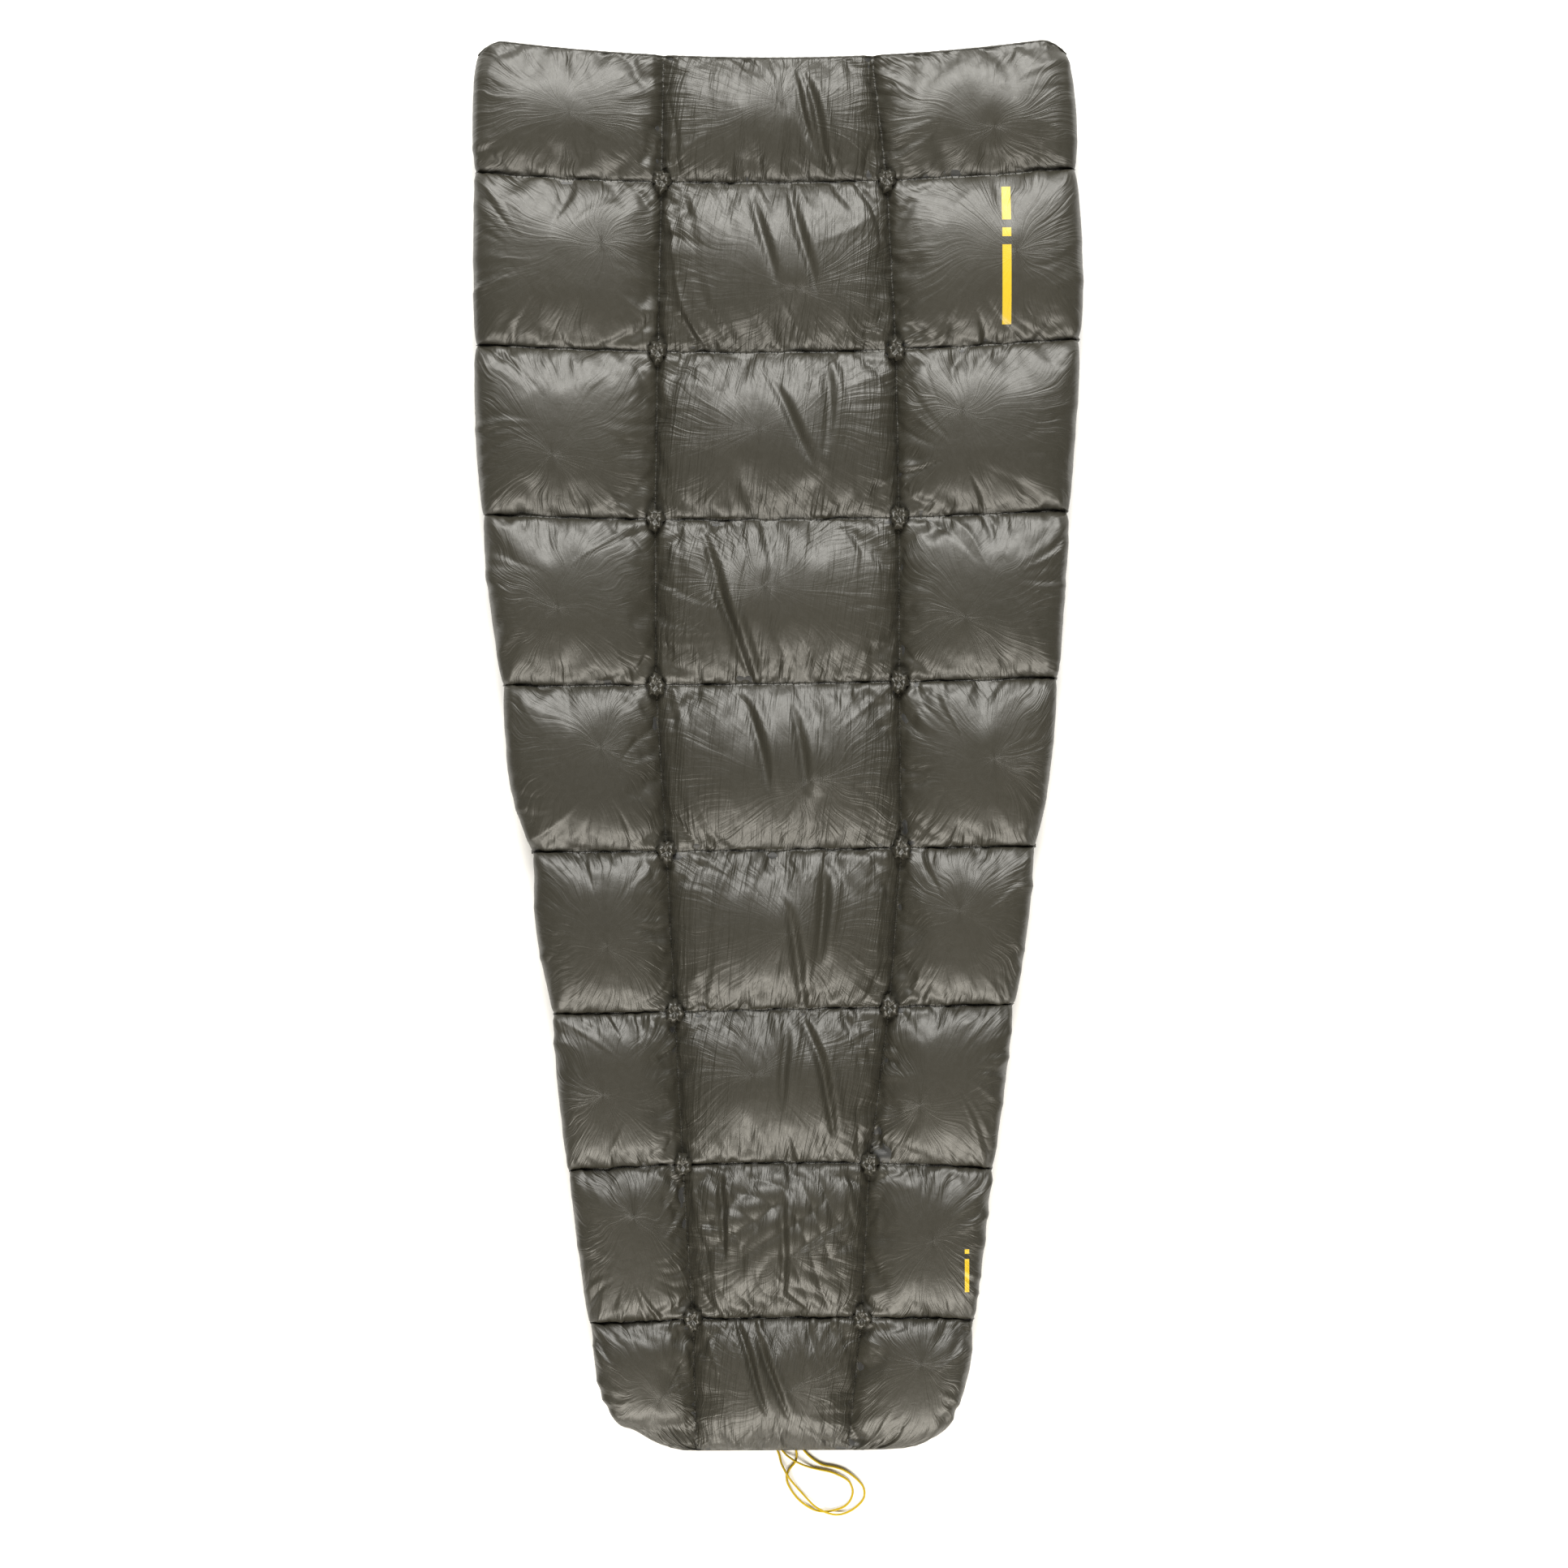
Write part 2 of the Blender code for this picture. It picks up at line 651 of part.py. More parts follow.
def build_zip(collection, cutters):
    """Zip up the underside of the foot box: two tapes with coils, the slider and its pull."""
    low = height_y(FOOT_ROW) + ZIP_END_GAP
    high = height_y(ZIP_TOP) - ZIP_END_GAP
    tape_low, tape_high = UNDER_LEVEL - TAPE_THICK / 2, UNDER_LEVEL + TAPE_THICK / 2
    coil_low, coil_high = UNDER_LEVEL - COIL_TALL / 2, UNDER_LEVEL + COIL_TALL / 2
    coil_outer = COIL_INNER + COIL_WIDE
    tape_outer = ZIP_GAP / 2 - TAPE_EDGE_GAP
    for name, sign in (("zip_tape_left", -1), ("zip_tape_right", 1)):
        outline = [
            (COIL_INNER, coil_low),
            (coil_outer, coil_low),
            (coil_outer, tape_low),
            (tape_outer, tape_low),
            (tape_outer, tape_high),
            (coil_outer, tape_high),
            (coil_outer, coil_high),
            (COIL_INNER, coil_high),
        ]
        extruded(name, [(sign * x, z) for x, z in outline], low, high, collection, ZIP_FINISH)

    half, web = SLIDER_WIDE / 2, SLIDER_WEB / 2
    under_high, over_low = coil_low - TAPE_EDGE_GAP, coil_high + TAPE_EDGE_GAP
    under_low, over_high = under_high - SLIDER_PLATE, over_low + SLIDER_PLATE
    profile = [
        (-half, under_low),
        (half, under_low),
        (half, under_high),
        (web, under_high),
        (web, over_low),
        (half, over_low),
        (half, over_high),
        (-half, over_high),
        (-half, over_low),
        (-web, over_low),
        (-web, under_high),
        (-half, under_high),
    ]
    slider_high = high - SLIDER_BELOW_TOP
    slider_low = slider_high - SLIDER_LONG
    slider = extruded("zip_slider", profile, slider_low, slider_high, collection, STEEL_FINISH)
    pin_y = slider_low + KNUCKLE_RADIUS + GAP
    pin_z = under_low - KNUCKLE_RADIUS - GAP
    lug_inner, lug_outer = PULL_WIDE / 2 + GAP, half - GAP / 2
    for index, sign in enumerate((-1, 1)):
        inner, outer = sorted((sign * lug_inner, sign * lug_outer))
        lug = rectangle(inner, outer, pin_z - LUG_BELOW_PIN, under_low + SLIDER_PLATE / 2)
        lug_low, lug_high = pin_y - LUG_HALF_LONG, pin_y + LUG_HALF_LONG
        side = extruded(f"slider_lug_{index}", lug, lug_low, lug_high, cutters, STEEL_FINISH)
        combine(slider, side, "UNION")
    pin_end = lug_outer - GAP
    pin = rod("slider_pin", PIN_RADIUS, -pin_end, pin_end, pin_y, pin_z, cutters, STEEL_FINISH, 12)
    combine(slider, pin, "UNION")

    flat = rectangle(-PULL_WIDE / 2, PULL_WIDE / 2, pin_z - PULL_THICK / 2, pin_z + PULL_THICK / 2)
    pull = extruded("zip_pull", flat, pin_y - PULL_LONG, pin_y - PIN_RADIUS, collection, STEEL_FINISH)
    side = PULL_WIDE / 2
    knuckle = rod("pull_knuckle", KNUCKLE_RADIUS, -side, side, pin_y, pin_z, cutters, STEEL_FINISH, 16)
    combine(pull, knuckle, "UNION")
    loose = PIN_RADIUS + PIN_CLEARANCE
    hole = rod("pull_hole", loose, -PULL_WIDE, PULL_WIDE, pin_y, pin_z, cutters, STEEL_FINISH, 12)
    combine(pull, hole, "DIFFERENCE")


def build_lock(collection, cutters):
    """Barrel cord lock: body, sprung button and spring, lying along X at the drawn mouth of the foot."""
    y = LOCK_V - LENGTH / 2
    x_low, x_high = LOCK_X - LOCK_LONG / 2, LOCK_X + LOCK_LONG / 2
    body = rod("cord_lock_body", LOCK_RADIUS, x_low, x_high, y, LOCK_Z, collection, LOCK_FINISH)
    bore_low = x_low + LOCK_FLOOR
    bore = rod("lock_bore", LOCK_BORE, bore_low, x_high + LOCK_FLOOR, y, LOCK_Z, cutters, LOCK_FINISH)
    combine(body, bore, "DIFFERENCE")
    slot_x = LOCK_X + SLOT_OFFSET
    slot_low, slot_high = LOCK_Z - SLOT_TALL / 2, LOCK_Z + SLOT_TALL / 2
    slot = rectangle(slot_x - SLOT_LONG / 2, slot_x + SLOT_LONG / 2, slot_low, slot_high)
    near, far = y - 2 * LOCK_RADIUS, y + 2 * LOCK_RADIUS
    through = extruded("lock_slot", slot, near, far, cutters, LOCK_FINISH)
    combine(body, through, "DIFFERENCE")

    button_low = bore_low + SPRING_ROOM
    radius = LOCK_BORE - BUTTON_CLEARANCE
    button_high = x_high + BUTTON_PROUD
    button = rod("cord_lock_button", radius, button_low, button_high, y, LOCK_Z, collection, LOCK_FINISH)
    pinch = [(x + BUTTON_TRAVEL, z) for x, z in slot]
    through = extruded("button_slot", pinch, near, far, cutters, LOCK_FINISH)
    combine(button, through, "DIFFERENCE")

    ends = SPRING_WIRE + GAP / 2
    count = SPRING_TURNS * SPRING_STEPS + 1
    points = []
    for k in range(count):
        turn = 2 * math.pi * k / SPRING_STEPS
        x = lerp(bore_low + ends, button_low - ends, k / (count - 1))
        points.append((x, y + SPRING_RADIUS * math.cos(turn), LOCK_Z + SPRING_RADIUS * math.sin(turn)))
    tube("cord_lock_spring", points, 2 * SPRING_WIRE, collection, STEEL_FINISH)


def tube(name, points, diameter, collection, finish):
    """A round wire or cord through the points, with closed ends."""
    curve = bpy.data.curves.new(name, "CURVE")
    curve.dimensions = "3D"
    curve.bevel_depth = diameter / 2
    curve.bevel_resolution = 2
    curve.use_fill_caps = True
    spline = curve.splines.new("POLY")
    spline.points.add(len(points) - 1)
    for point, place in zip(spline.points, points):
        point.co = (*place, 1.0)
    made = bpy.data.objects.new(name, curve)
    curve.materials.append(make_material(finish))
    collection.objects.link(made)
    return made


def smooth_route(route, count, steps=24):
    """Evenly spaced points on a smooth curve through the route's points."""
    places = [Vector(p) for p in route]
    places = [places[0] * 2 - places[1], *places, places[-1] * 2 - places[-2]]
    fine = []
    for a, b, c, d in zip(places, places[1:], places[2:], places[3:]):
        for step in range(steps):
            t = step / steps
            along = (c - a) * t + (2 * a - 5 * b + 4 * c - d) * t * t + (3 * b - a - 3 * c + d) * t**3
            fine.append(b + along / 2)
    fine.append(places[-2])
    lengths = [0.0]
    for p, q in zip(fine, fine[1:]):
        lengths.append(lengths[-1] + (q - p).length)
    points, at = [], 0
    for k in range(count):
        wanted = lengths[-1] * k / (count - 1)
        while at < len(fine) - 2 and lengths[at + 1] < wanted:
            at += 1
        share = (wanted - lengths[at]) / (lengths[at + 1] - lengths[at])
        points.append(fine[at].lerp(fine[at + 1], min(1.0, share)))
    return points


def flap_axis(sign):
    """Two points on the line that a side flap turns about, just outside the side's widest bulge."""
    points = []
    for v in (SEAMS[ROWS - 4], SEAMS[ROWS - 2]):
        points.append(Vector((sign * (half_width(v) + FLAP_AXIS_OUT), v - LENGTH / 2, FOLD_LEVEL)))
    return points


def hang_on_hinge(name, sign, pieces):
    """Parents a flap's pieces to an empty on its fold line, leaving them where they are."""
    low, high = flap_axis(sign)
    hinge = bpy.data.objects.new(name, None)
    bpy.context.scene.collection.objects.link(hinge)
    hinge.location = low
    hinge.rotation_euler = (high - low).to_track_quat("Y", "Z").to_euler()
    bpy.context.view_layer.update()
    for piece in pieces:
        piece.parent = hinge
        piece.matrix_parent_inverse = hinge.matrix_world.inverted()


def main():
    clear_scene()
    quilt = make_collection("camp_quilt")
    cutters = make_collection("cutters")
    build_top(quilt)
    build_foot(quilt)
    for side, sign, lines in (("left", -1, left_lines), ("right", 1, right_lines)):
        before = set(quilt.objects)
        build_flap(side, lines, quilt)
        hang_on_hinge(f"flap_hinge_{side}", sign, [o for o in quilt.objects if o not in before])
    build_zip(quilt, cutters)
    build_lock(quilt, cutters)
    tube("foot_drawcord", smooth_route(CORD_ROUTE, CORD_POINTS), CORD_DIAMETER, quilt, CORD_FINISH)


main()
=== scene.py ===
"""Camp quilt: puffed fabric skins, seams, zip, cord lock and drawcord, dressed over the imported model."""

import logging
import math
from collections.abc import Callable
from dataclasses import dataclass, field
from enum import Enum

import bpy
import numpy as np
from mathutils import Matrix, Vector


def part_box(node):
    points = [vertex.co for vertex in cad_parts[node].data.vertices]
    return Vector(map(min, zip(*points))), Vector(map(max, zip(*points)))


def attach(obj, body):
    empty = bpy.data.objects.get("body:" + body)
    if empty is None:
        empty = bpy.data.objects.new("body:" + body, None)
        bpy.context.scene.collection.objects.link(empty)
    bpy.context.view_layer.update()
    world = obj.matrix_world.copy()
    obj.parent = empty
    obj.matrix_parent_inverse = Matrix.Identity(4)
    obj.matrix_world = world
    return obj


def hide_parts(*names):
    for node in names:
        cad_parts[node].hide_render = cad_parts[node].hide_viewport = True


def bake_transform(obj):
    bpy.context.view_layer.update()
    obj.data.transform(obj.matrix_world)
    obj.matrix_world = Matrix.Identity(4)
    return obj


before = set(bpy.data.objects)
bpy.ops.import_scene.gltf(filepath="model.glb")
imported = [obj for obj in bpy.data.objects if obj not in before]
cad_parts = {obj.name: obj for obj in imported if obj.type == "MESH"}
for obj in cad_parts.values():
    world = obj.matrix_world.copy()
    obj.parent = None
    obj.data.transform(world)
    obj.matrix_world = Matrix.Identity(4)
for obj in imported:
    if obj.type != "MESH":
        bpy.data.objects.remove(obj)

LOG = logging.getLogger("camp_quilt")
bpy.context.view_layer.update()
SHEET_MAP = "sheet"
LOWEST = 0.0003
BOX_LONG = 0.21
Grid = np.ndarray


class Side(Enum):
    """A side of the quilt, as the sign of its X."""

    LEFT = -1
    RIGHT = 1

    @property
    def word(self) -> str:
        """The side's name in node names."""
        return self.name.lower()


# ---------------------------------------------------------------- shader building


def maths(operation: str, reflected: bool = False) -> Callable[..., "Wire"]:
    """A method of Wire that adds one Math node.

    Args:
        operation: the node's operation.
        reflected: puts the other value first.

    Returns:
        The method; its other value is 0 where none is given.
    """

    def method(self: "Wire", other: "Wire | float" = 0.0) -> "Wire":
        """The node's result."""
        first, second = (other, self) if reflected else (self, other)
        return self.shader.node("ShaderNodeMath", {"operation": operation}, {0: first, 1: second})

    return method


class Wire:
    """A shader output that can be used in sums and products; a comparison gives 1 where it holds, else 0."""

    __add__ = maths("ADD")
    __radd__ = maths("ADD", reflected=True)
    __sub__ = maths("SUBTRACT")
    __rsub__ = maths("SUBTRACT", reflected=True)
    __mul__ = maths("MULTIPLY")
    __rmul__ = maths("MULTIPLY", reflected=True)
    __gt__ = maths("GREATER_THAN")
    __lt__ = maths("LESS_THAN")
    peak = maths("MAXIMUM")
    floor = maths("FLOOR")
    fraction = maths("FRACT")
    sine = maths("SINE")
    size = maths("ABSOLUTE")

    def __init__(self, shader: "Shader", socket: bpy.types.NodeSocket) -> None:
        """Wraps an output socket of the shader's tree."""
        self.shader = shader
        self.socket = socket


class Shader:
    """One material and the nodes that feed its surface."""

    def __init__(self, name: str) -> None:
        """Makes a material with a Principled surface.

        Args:
            name: the material's name.
        """
        self.material = bpy.data.materials.new(name)
        self.material.use_nodes = True
        self.tree = self.material.node_tree
        self.surface = self.tree.nodes["Principled BSDF"]

    def put(self, socket: bpy.types.NodeSocket, value: object) -> None:
        """Links or sets one input.

        Args:
            socket: the input socket.
            value: a Wire, a number, or a tuple for a colour or vector.
        """
        if isinstance(value, Wire):
            self.tree.links.new(value.socket, socket)
        elif isinstance(value, tuple) and socket.type == "RGBA":
            socket.default_value = (*value[:3], 1.0)
        else:
            socket.default_value = value

    def node(
        self, kind: str, settings: dict | None = None, sockets: dict | None = None, out: int | str = 0
    ) -> Wire:
        """Adds any node: its settings first, then its sockets.

        Args:
            kind: the node's type.
            settings: attributes to set; "stops" holds a ramp's positions and colours.
            sockets: values or wires by input name or number.
            out: which output to return.

        Returns:
            The chosen output.
        """
        made = self.tree.nodes.new(kind)
        for key, value in (settings or {}).items():
            if key == "stops":
                ramp = made.color_ramp
                while len(ramp.elements) < len(value):
                    ramp.elements.new(0.5)
                for element, (position, shade) in zip(ramp.elements, value):
                    element.position = position
                    element.color = (shade, shade, shade, 1.0)
            else:
                setattr(made, key, value)
        for key, value in (sockets or {}).items():
            self.put(made.inputs[key], value)
        return Wire(self, made.outputs[out])

    def set(self, **values: object) -> None:
        """Sets or links inputs of the Principled surface, with _ for a space in a name."""
        for name, value in values.items():
            self.put(self.surface.inputs[name.replace("_", " ")], value)

    def place(self) -> Wire:
        """Position on the object, in metres."""
        return self.node("ShaderNodeTexCoord", out="Object")

    def parts(self, where: Wire) -> list[Wire]:
        """A vector as three numbers."""
        outputs = self.node("ShaderNodeSeparateXYZ", sockets={0: where}).socket.node.outputs
        return [Wire(self, output) for output in outputs]

    def axes(self) -> list[Wire]:
        """Position on the object as three numbers."""
        return self.parts(self.place())

    def sheet(self) -> list[Wire]:
        """Place on the sewn sheet: column stations and row stations, whole numbers at the seams."""
        return self.parts(self.node("ShaderNodeUVMap", {"uv_map": SHEET_MAP}))[:2]

    def vector(self, x: "Wire | float", y: "Wire | float", z: "Wire | float") -> Wire:
        """Three numbers as one vector."""
        return self.node("ShaderNodeCombineXYZ", sockets={0: x, 1: y, 2: z})

    def noise_at(self, where: Wire, detail: float, distortion: float = 0.0, scale: float = 1.0) -> Wire:
        """Soft noise from 0 to 1 at any place, with scale cycles to a unit."""
        values = {"Vector": where, "Scale": scale, "Detail": detail, "Distortion": distortion}
        return self.node("ShaderNodeTexNoise", sockets=values)

    def noise(
        self, scale: float, detail: float = 2.0, distortion: float = 0.0, stretch: tuple = (1, 1, 1)
    ) -> Wire:
        """Soft noise from 0 to 1.

        Args:
            scale: cycles in a metre.
            detail: octaves.
            distortion: how far it folds over itself.
            stretch: scale of each axis.

        Returns:
            The noise value.
        """
        where = self.node("ShaderNodeVectorMath", {"operation": "MULTIPLY"}, {0: self.place(), 1: stretch})
        return self.noise_at(where, detail, distortion, scale)

    def blend(self, factor: "Wire | float", first: object, second: object) -> Wire:
        """A colour between two colours: the first at factor 0, the second at factor 1."""
        return self.node("ShaderNodeMix", {"data_type": "RGBA"}, {0: factor, 6: first, 7: second}, 2)

    def bump(self, height: Wire, strength: float, distance: float) -> None:
        """Feeds a height to the surface's Normal, with distance metres for a height of 1."""
        sockets = {"Strength": strength, "Distance": distance, "Height": height}
        self.set(Normal=self.node("ShaderNodeBump", sockets=sockets))


# ---------------------------------------------------------------- finishes


@dataclass(frozen=True)
class ShellFabric:
    """Thin coated nylon: soft gloss, fine creases that run in from the seams, and a faint warp and weft."""

    name: str = "olive_shell"
    colour: tuple[float, float, float] = (0.0198, 0.0183, 0.0128)
    faded: tuple[float, float, float] = (0.0295, 0.0270, 0.0195)
    roughness: float = 0.45
    print_colour: tuple[float, float, float] = (0.50, 0.35, 0.012)
    bars: tuple[tuple[float, float, float, float], ...] = ()
    crease_turns: float = 8.5
    crease_deep: float = 0.0042

    def make(self) -> bpy.types.Material:
        """Builds the material.

        Returns:
            The material, with any printed bars as boxes of low x, low y, high x and high y.
        """
        made = Shader(self.name)
        cloudy = made.noise(5.0, 3.0)
        crinkle = made.noise(120.0, 4.0, 0.8)
        colour = made.blend(cloudy, self.colour, self.faded)
        x, y, _ = made.axes()
        weave = (x * 5200.0).sine() * 0.5 + (y * 5200.0).sine() * 0.5
        if self.bars:
            mask: Wire | float = 0.0
            for low_x, low_y, high_x, high_y in self.bars:
                inside = (x > low_x) * (x < high_x) * (y > low_y) * (y < high_y)
                mask = inside.peak(mask)
            colour = made.blend(mask, colour, self.print_colour)
        made.set(Base_Color=colour, Roughness=self.roughness + 0.14 * (crinkle - 0.5))
        made.set(Coat_Weight=0.05, Coat_Roughness=0.25, Specular_IOR_Level=0.55)
        made.bump(self.creases(made) + crinkle * 0.10 + weave * 0.004, 0.6, self.crease_deep)
        return made.material

    def creases(self, made: Shader) -> Wire:
        """Fine creases: out from the middle of each box to its seams, and along the middle column.

        Args:
            made: the shader being built.

        Returns:
            The height, from 0 to about 1.
        """
        a, b = made.sheet()
        u, v = a.fraction() - 0.5, b.fraction() - 0.5
        box = a.floor() * 7.3 + b.floor() * 13.7
        reach = u.size().peak(v.size()) * 2.0
        bend = made.noise_at(made.vector(u * 3.2, v * 3.2, box), 1.0) - 0.5
        turn = made.noise_at(made.vector(u * 3.2, v * 3.2, box + 50.0), 1.0) - 0.5
        off_x, off_y = (box * 1.7).sine() * 0.13, (box * 2.9).sine() * 0.13
        bent = made.vector(u + off_x + bend * 0.20, v + off_y + turn * 0.20, 0.0)
        ray = made.node("ShaderNodeVectorMath", {"operation": "NORMALIZE"}, {0: bent})
        scaled = {0: ray, "Scale": self.crease_turns}
        turned = made.node("ShaderNodeVectorMath", {"operation": "SCALE"}, scaled)
        rise = made.vector(0.0, 0.0, reach * 1.5 + box)
        lifted = made.node("ShaderNodeVectorMath", {"operation": "ADD"}, {0: turned, 1: rise})
        star = (made.noise_at(lifted, 3.0, 0.35) - 0.5).size() * 2.0
        gain = reach * reach * 0.92 + 0.08
        along = made.noise_at(made.vector(u * 34.0 + v * 3.0, v * 1.8, box), 3.0, 0.5)
        gathers = (along - 0.5).size() * 2.0 * (a > 1.0) * (a < 2.0)
        return star * gain + gathers * (0.30 + 0.5 * reach)


@dataclass(frozen=True)
class LinerFabric:
    """Soft uncoated nylon for the inside."""

    name: str = "dark_liner"
    colour: tuple[float, float, float] = (0.020, 0.020, 0.020)
    worn: tuple[float, float, float] = (0.034, 0.034, 0.033)

    def make(self) -> bpy.types.Material:
        """Builds the material."""
        made = Shader(self.name)
        x, y, _ = made.axes()
        weave = (x * 4200.0).sine() * 0.5 + (y * 4200.0).sine() * 0.5
        crinkle = made.noise(80.0, 4.0, 1.2)
        made.set(Base_Color=made.blend(made.noise(9.0, 3.0), self.colour, self.worn))
        made.set(Roughness=0.52 + 0.10 * (crinkle - 0.5), Specular_IOR_Level=0.45)
        made.bump(crinkle * 0.7 + weave * 0.05, 0.4, 0.0018)
        return made.material


@dataclass(frozen=True)
class Yarn:
    """Twisted or braided yarn, lit softly at its edges."""

    name: str
    colour: tuple[float, float, float]
    shaded: tuple[float, float, float]
    roughness: float = 0.72
    grain: float = 2600.0

    def make(self) -> bpy.types.Material:
        """Builds the material."""
        made = Shader(self.name)
        fibre = made.noise(self.grain, 3.0, 0.6)
        # painted shade: the fibre noise mixes the yarn's colour with its darker shaded copy, darkest where
        # the fibre bump is low
        made.set(Base_Color=made.blend(fibre, self.shaded, self.colour))
        made.set(Roughness=self.roughness + 0.15 * (fibre - 0.5), Specular_IOR_Level=0.25)
        made.bump(fibre, 0.5, 0.0003)
        return made.material


@dataclass(frozen=True)
class WovenTape:
    """Close woven tape with fine ribs along Y and picks across X."""

    name: str = "zip_tape_weave"
    colour: tuple[float, float, float] = (0.016, 0.016, 0.016)
    lit: tuple[float, float, float] = (0.034, 0.034, 0.033)

    def make(self) -> bpy.types.Material:
        """Builds the material."""
        made = Shader(self.name)
        x, y, _ = made.axes()
        weave = (x * 9000.0).sine() * (y * 7000.0).sine()
        # painted highlight and shade: the weave's raised picks take the lit colour, its hollows the darker
        # one
        made.set(Base_Color=made.blend(weave * 0.5 + 0.5, self.colour, self.lit), Roughness=0.8 - 0.1 * weave)
        made.bump(weave, 0.5, 0.0002)
        return made.material


@dataclass(frozen=True)
class Moulding:
    """Moulded plastic with a fine spark-eroded grain and rubbed high spots."""

    name: str = "lock_moulding"
    colour: tuple[float, float, float] = (0.012, 0.012, 0.013)
    rubbed: tuple[float, float, float] = (0.040, 0.040, 0.041)

    def make(self) -> bpy.types.Material:
        """Builds the material."""
        made = Shader(self.name)
        grain = made.noise(2400.0, 2.0)
        stops = {"stops": ((0.55, 0.0), (0.75, 1.0))}
        wear = made.node("ShaderNodeValToRGB", stops, {0: made.noise(260.0, 4.0)})
        made.set(Base_Color=made.blend(wear, self.colour, self.rubbed), Roughness=0.46 + 0.18 * (grain - 0.5))
        made.bump(grain, 0.35, 0.00015)
        return made.material


@dataclass(frozen=True)
class PlatedSteel:
    """Plated metal with fine brushing and dull patches."""

    name: str = "plated_steel"
    colour: tuple[float, float, float] = (0.50, 0.50, 0.51)
    dull: tuple[float, float, float] = (0.33, 0.32, 0.31)

    def make(self) -> bpy.types.Material:
        """Builds the material."""
        made = Shader(self.name)
        brushed = made.noise(900.0, 3.0, 0.0, (1.0, 0.08, 1.0))
        patch = made.noise(300.0, 3.0)
        made.set(Base_Color=made.blend(patch, self.colour, self.dull), Metallic=1.0)
        made.set(Roughness=0.24 + 0.22 * brushed)
        made.bump(brushed, 0.25, 0.0001)
        return made.material


@dataclass(frozen=True)
class PaleFloor:
    """Matt pale studio floor."""

    name: str = "pale_floor"

    def make(self) -> bpy.types.Material:
        """Builds the material."""
        made = Shader(self.name)
        colour = made.blend(made.noise(3.0), (0.90, 0.90, 0.90), (0.93, 0.93, 0.93))
        made.set(Base_Color=colour, Roughness=0.9)
        return made.material


HEAD_BARS = ((0.300, 0.560, 0.312, 0.665), (0.300, 0.676, 0.312, 0.688), (0.300, 0.699, 0.312, 0.745))
FOOT_BARS = ((0.243, -0.735, 0.249, -0.690), (0.243, -0.683, 0.249, -0.677))
SHELL = ShellFabric()
LINER = LinerFabric()
# Each yarn's second colour is its darker shaded copy, painted shade between the fibres.
THREAD = Yarn("seam_thread", (0.030, 0.029, 0.025), (0.012, 0.012, 0.010), 0.6, 3800.0)
BRAID = Yarn("yellow_braid", (0.46, 0.33, 0.006), (0.32, 0.21, 0.004))
MADE: dict[str, bpy.types.Material] = {}


def finish_of(finish: object) -> bpy.types.Material:
    """The material of a finish, built once.

    Args:
        finish: one of the finishes above.

    Returns:
        Its material.
    """
    if finish.name not in MADE:
        MADE[finish.name] = finish.make()
    return MADE[finish.name]


# ---------------------------------------------------------------- mesh helpers


def mesh_piece(
    name: str,
    points: Grid,
    faces: Grid,
    finish: object,
    normals: Grid | None = None,
    sheet: Grid | None = None,
) -> bpy.types.Object:
    """Makes one object from points and faces of equal size.

    Args:
        name: the object's name.
        points: N by 3 positions in metres.
        faces: M by 3 or 4 point numbers.
        finish: the finish it is dressed in.
        normals: point normals, where they come from a larger surface.
        sheet: column and row stations of each point, for the creases of the finish.

    Returns:
        The new object.
    """
    data = bpy.data.meshes.new(name)
    data.vertices.add(len(points))
    data.vertices.foreach_set("co", np.ascontiguousarray(points, np.float32).ravel())
    data.loops.add(faces.size)
    data.loops.foreach_set("vertex_index", np.ascontiguousarray(faces, np.int32).ravel())
    data.polygons.add(len(faces))
    data.polygons.foreach_set("loop_start", np.arange(0, faces.size, faces.shape[1], dtype=np.int32))
    data.update(calc_edges=True)
    data.validate()
    if sheet is not None:
        layer = data.uv_layers.new(name=SHEET_MAP)
        layer.data.foreach_set("uv", np.ascontiguousarray(sheet[faces.ravel()], np.float32).ravel())
    data.shade_smooth()
    if normals is not None:
        data.normals_split_custom_set_from_vertices(normals.tolist())
    data.materials.append(finish_of(finish))
    made = bpy.data.objects.new(name, data)
    bpy.context.scene.collection.objects.link(made)
    return made


def grid_faces(high: int, wide: int, flip: bool = False) -> Grid:
    """Quads of a grid of high by wide points.

    Args:
        high: rows of points.
        wide: points in a row.
        flip: turns the faces over.

    Returns:
        The quads, as point numbers.
    """
    index = np.arange(high * wide).reshape(high, wide)
    order = [index[:-1, :-1], index[1:, :-1], index[1:, 1:], index[:-1, 1:]]
    if flip:
        order.reverse()
    return np.stack(order, -1).reshape(-1, 4)


def grid_normals(surface: Grid) -> Grid:
    """Unit normals of a grid surface, for faces that grid_faces lists unflipped.

    Args:
        surface: high by wide by 3 positions.

    Returns:
        The normals, in the same shape.
    """
    down = np.gradient(surface, axis=0)
    across = np.gradient(surface, axis=1)
    normal = np.cross(down, across)
    return normal / np.maximum(np.linalg.norm(normal, axis=-1, keepdims=True), 1e-12)


def finer(values: Grid) -> Grid:
    """Doubles a grid's density along both axes on a smooth curve.

    Args:
        values: high by wide by any.

    Returns:
        A grid of 2 high - 1 by 2 wide - 1.
    """
    for axis in (0, 1):
        rows = np.moveaxis(values, axis, 0)
        padded = np.concatenate([2 * rows[:1] - rows[1:2], rows, 2 * rows[-1:] - rows[-2:-1]])
        middle = (9 * (padded[1:-2] + padded[2:-1]) - padded[:-3] - padded[3:]) / 16
        woven = np.empty((2 * len(rows) - 1, *rows.shape[1:]))
        woven[::2] = rows
        woven[1::2] = middle
        values = np.moveaxis(woven, 0, axis)
    return values


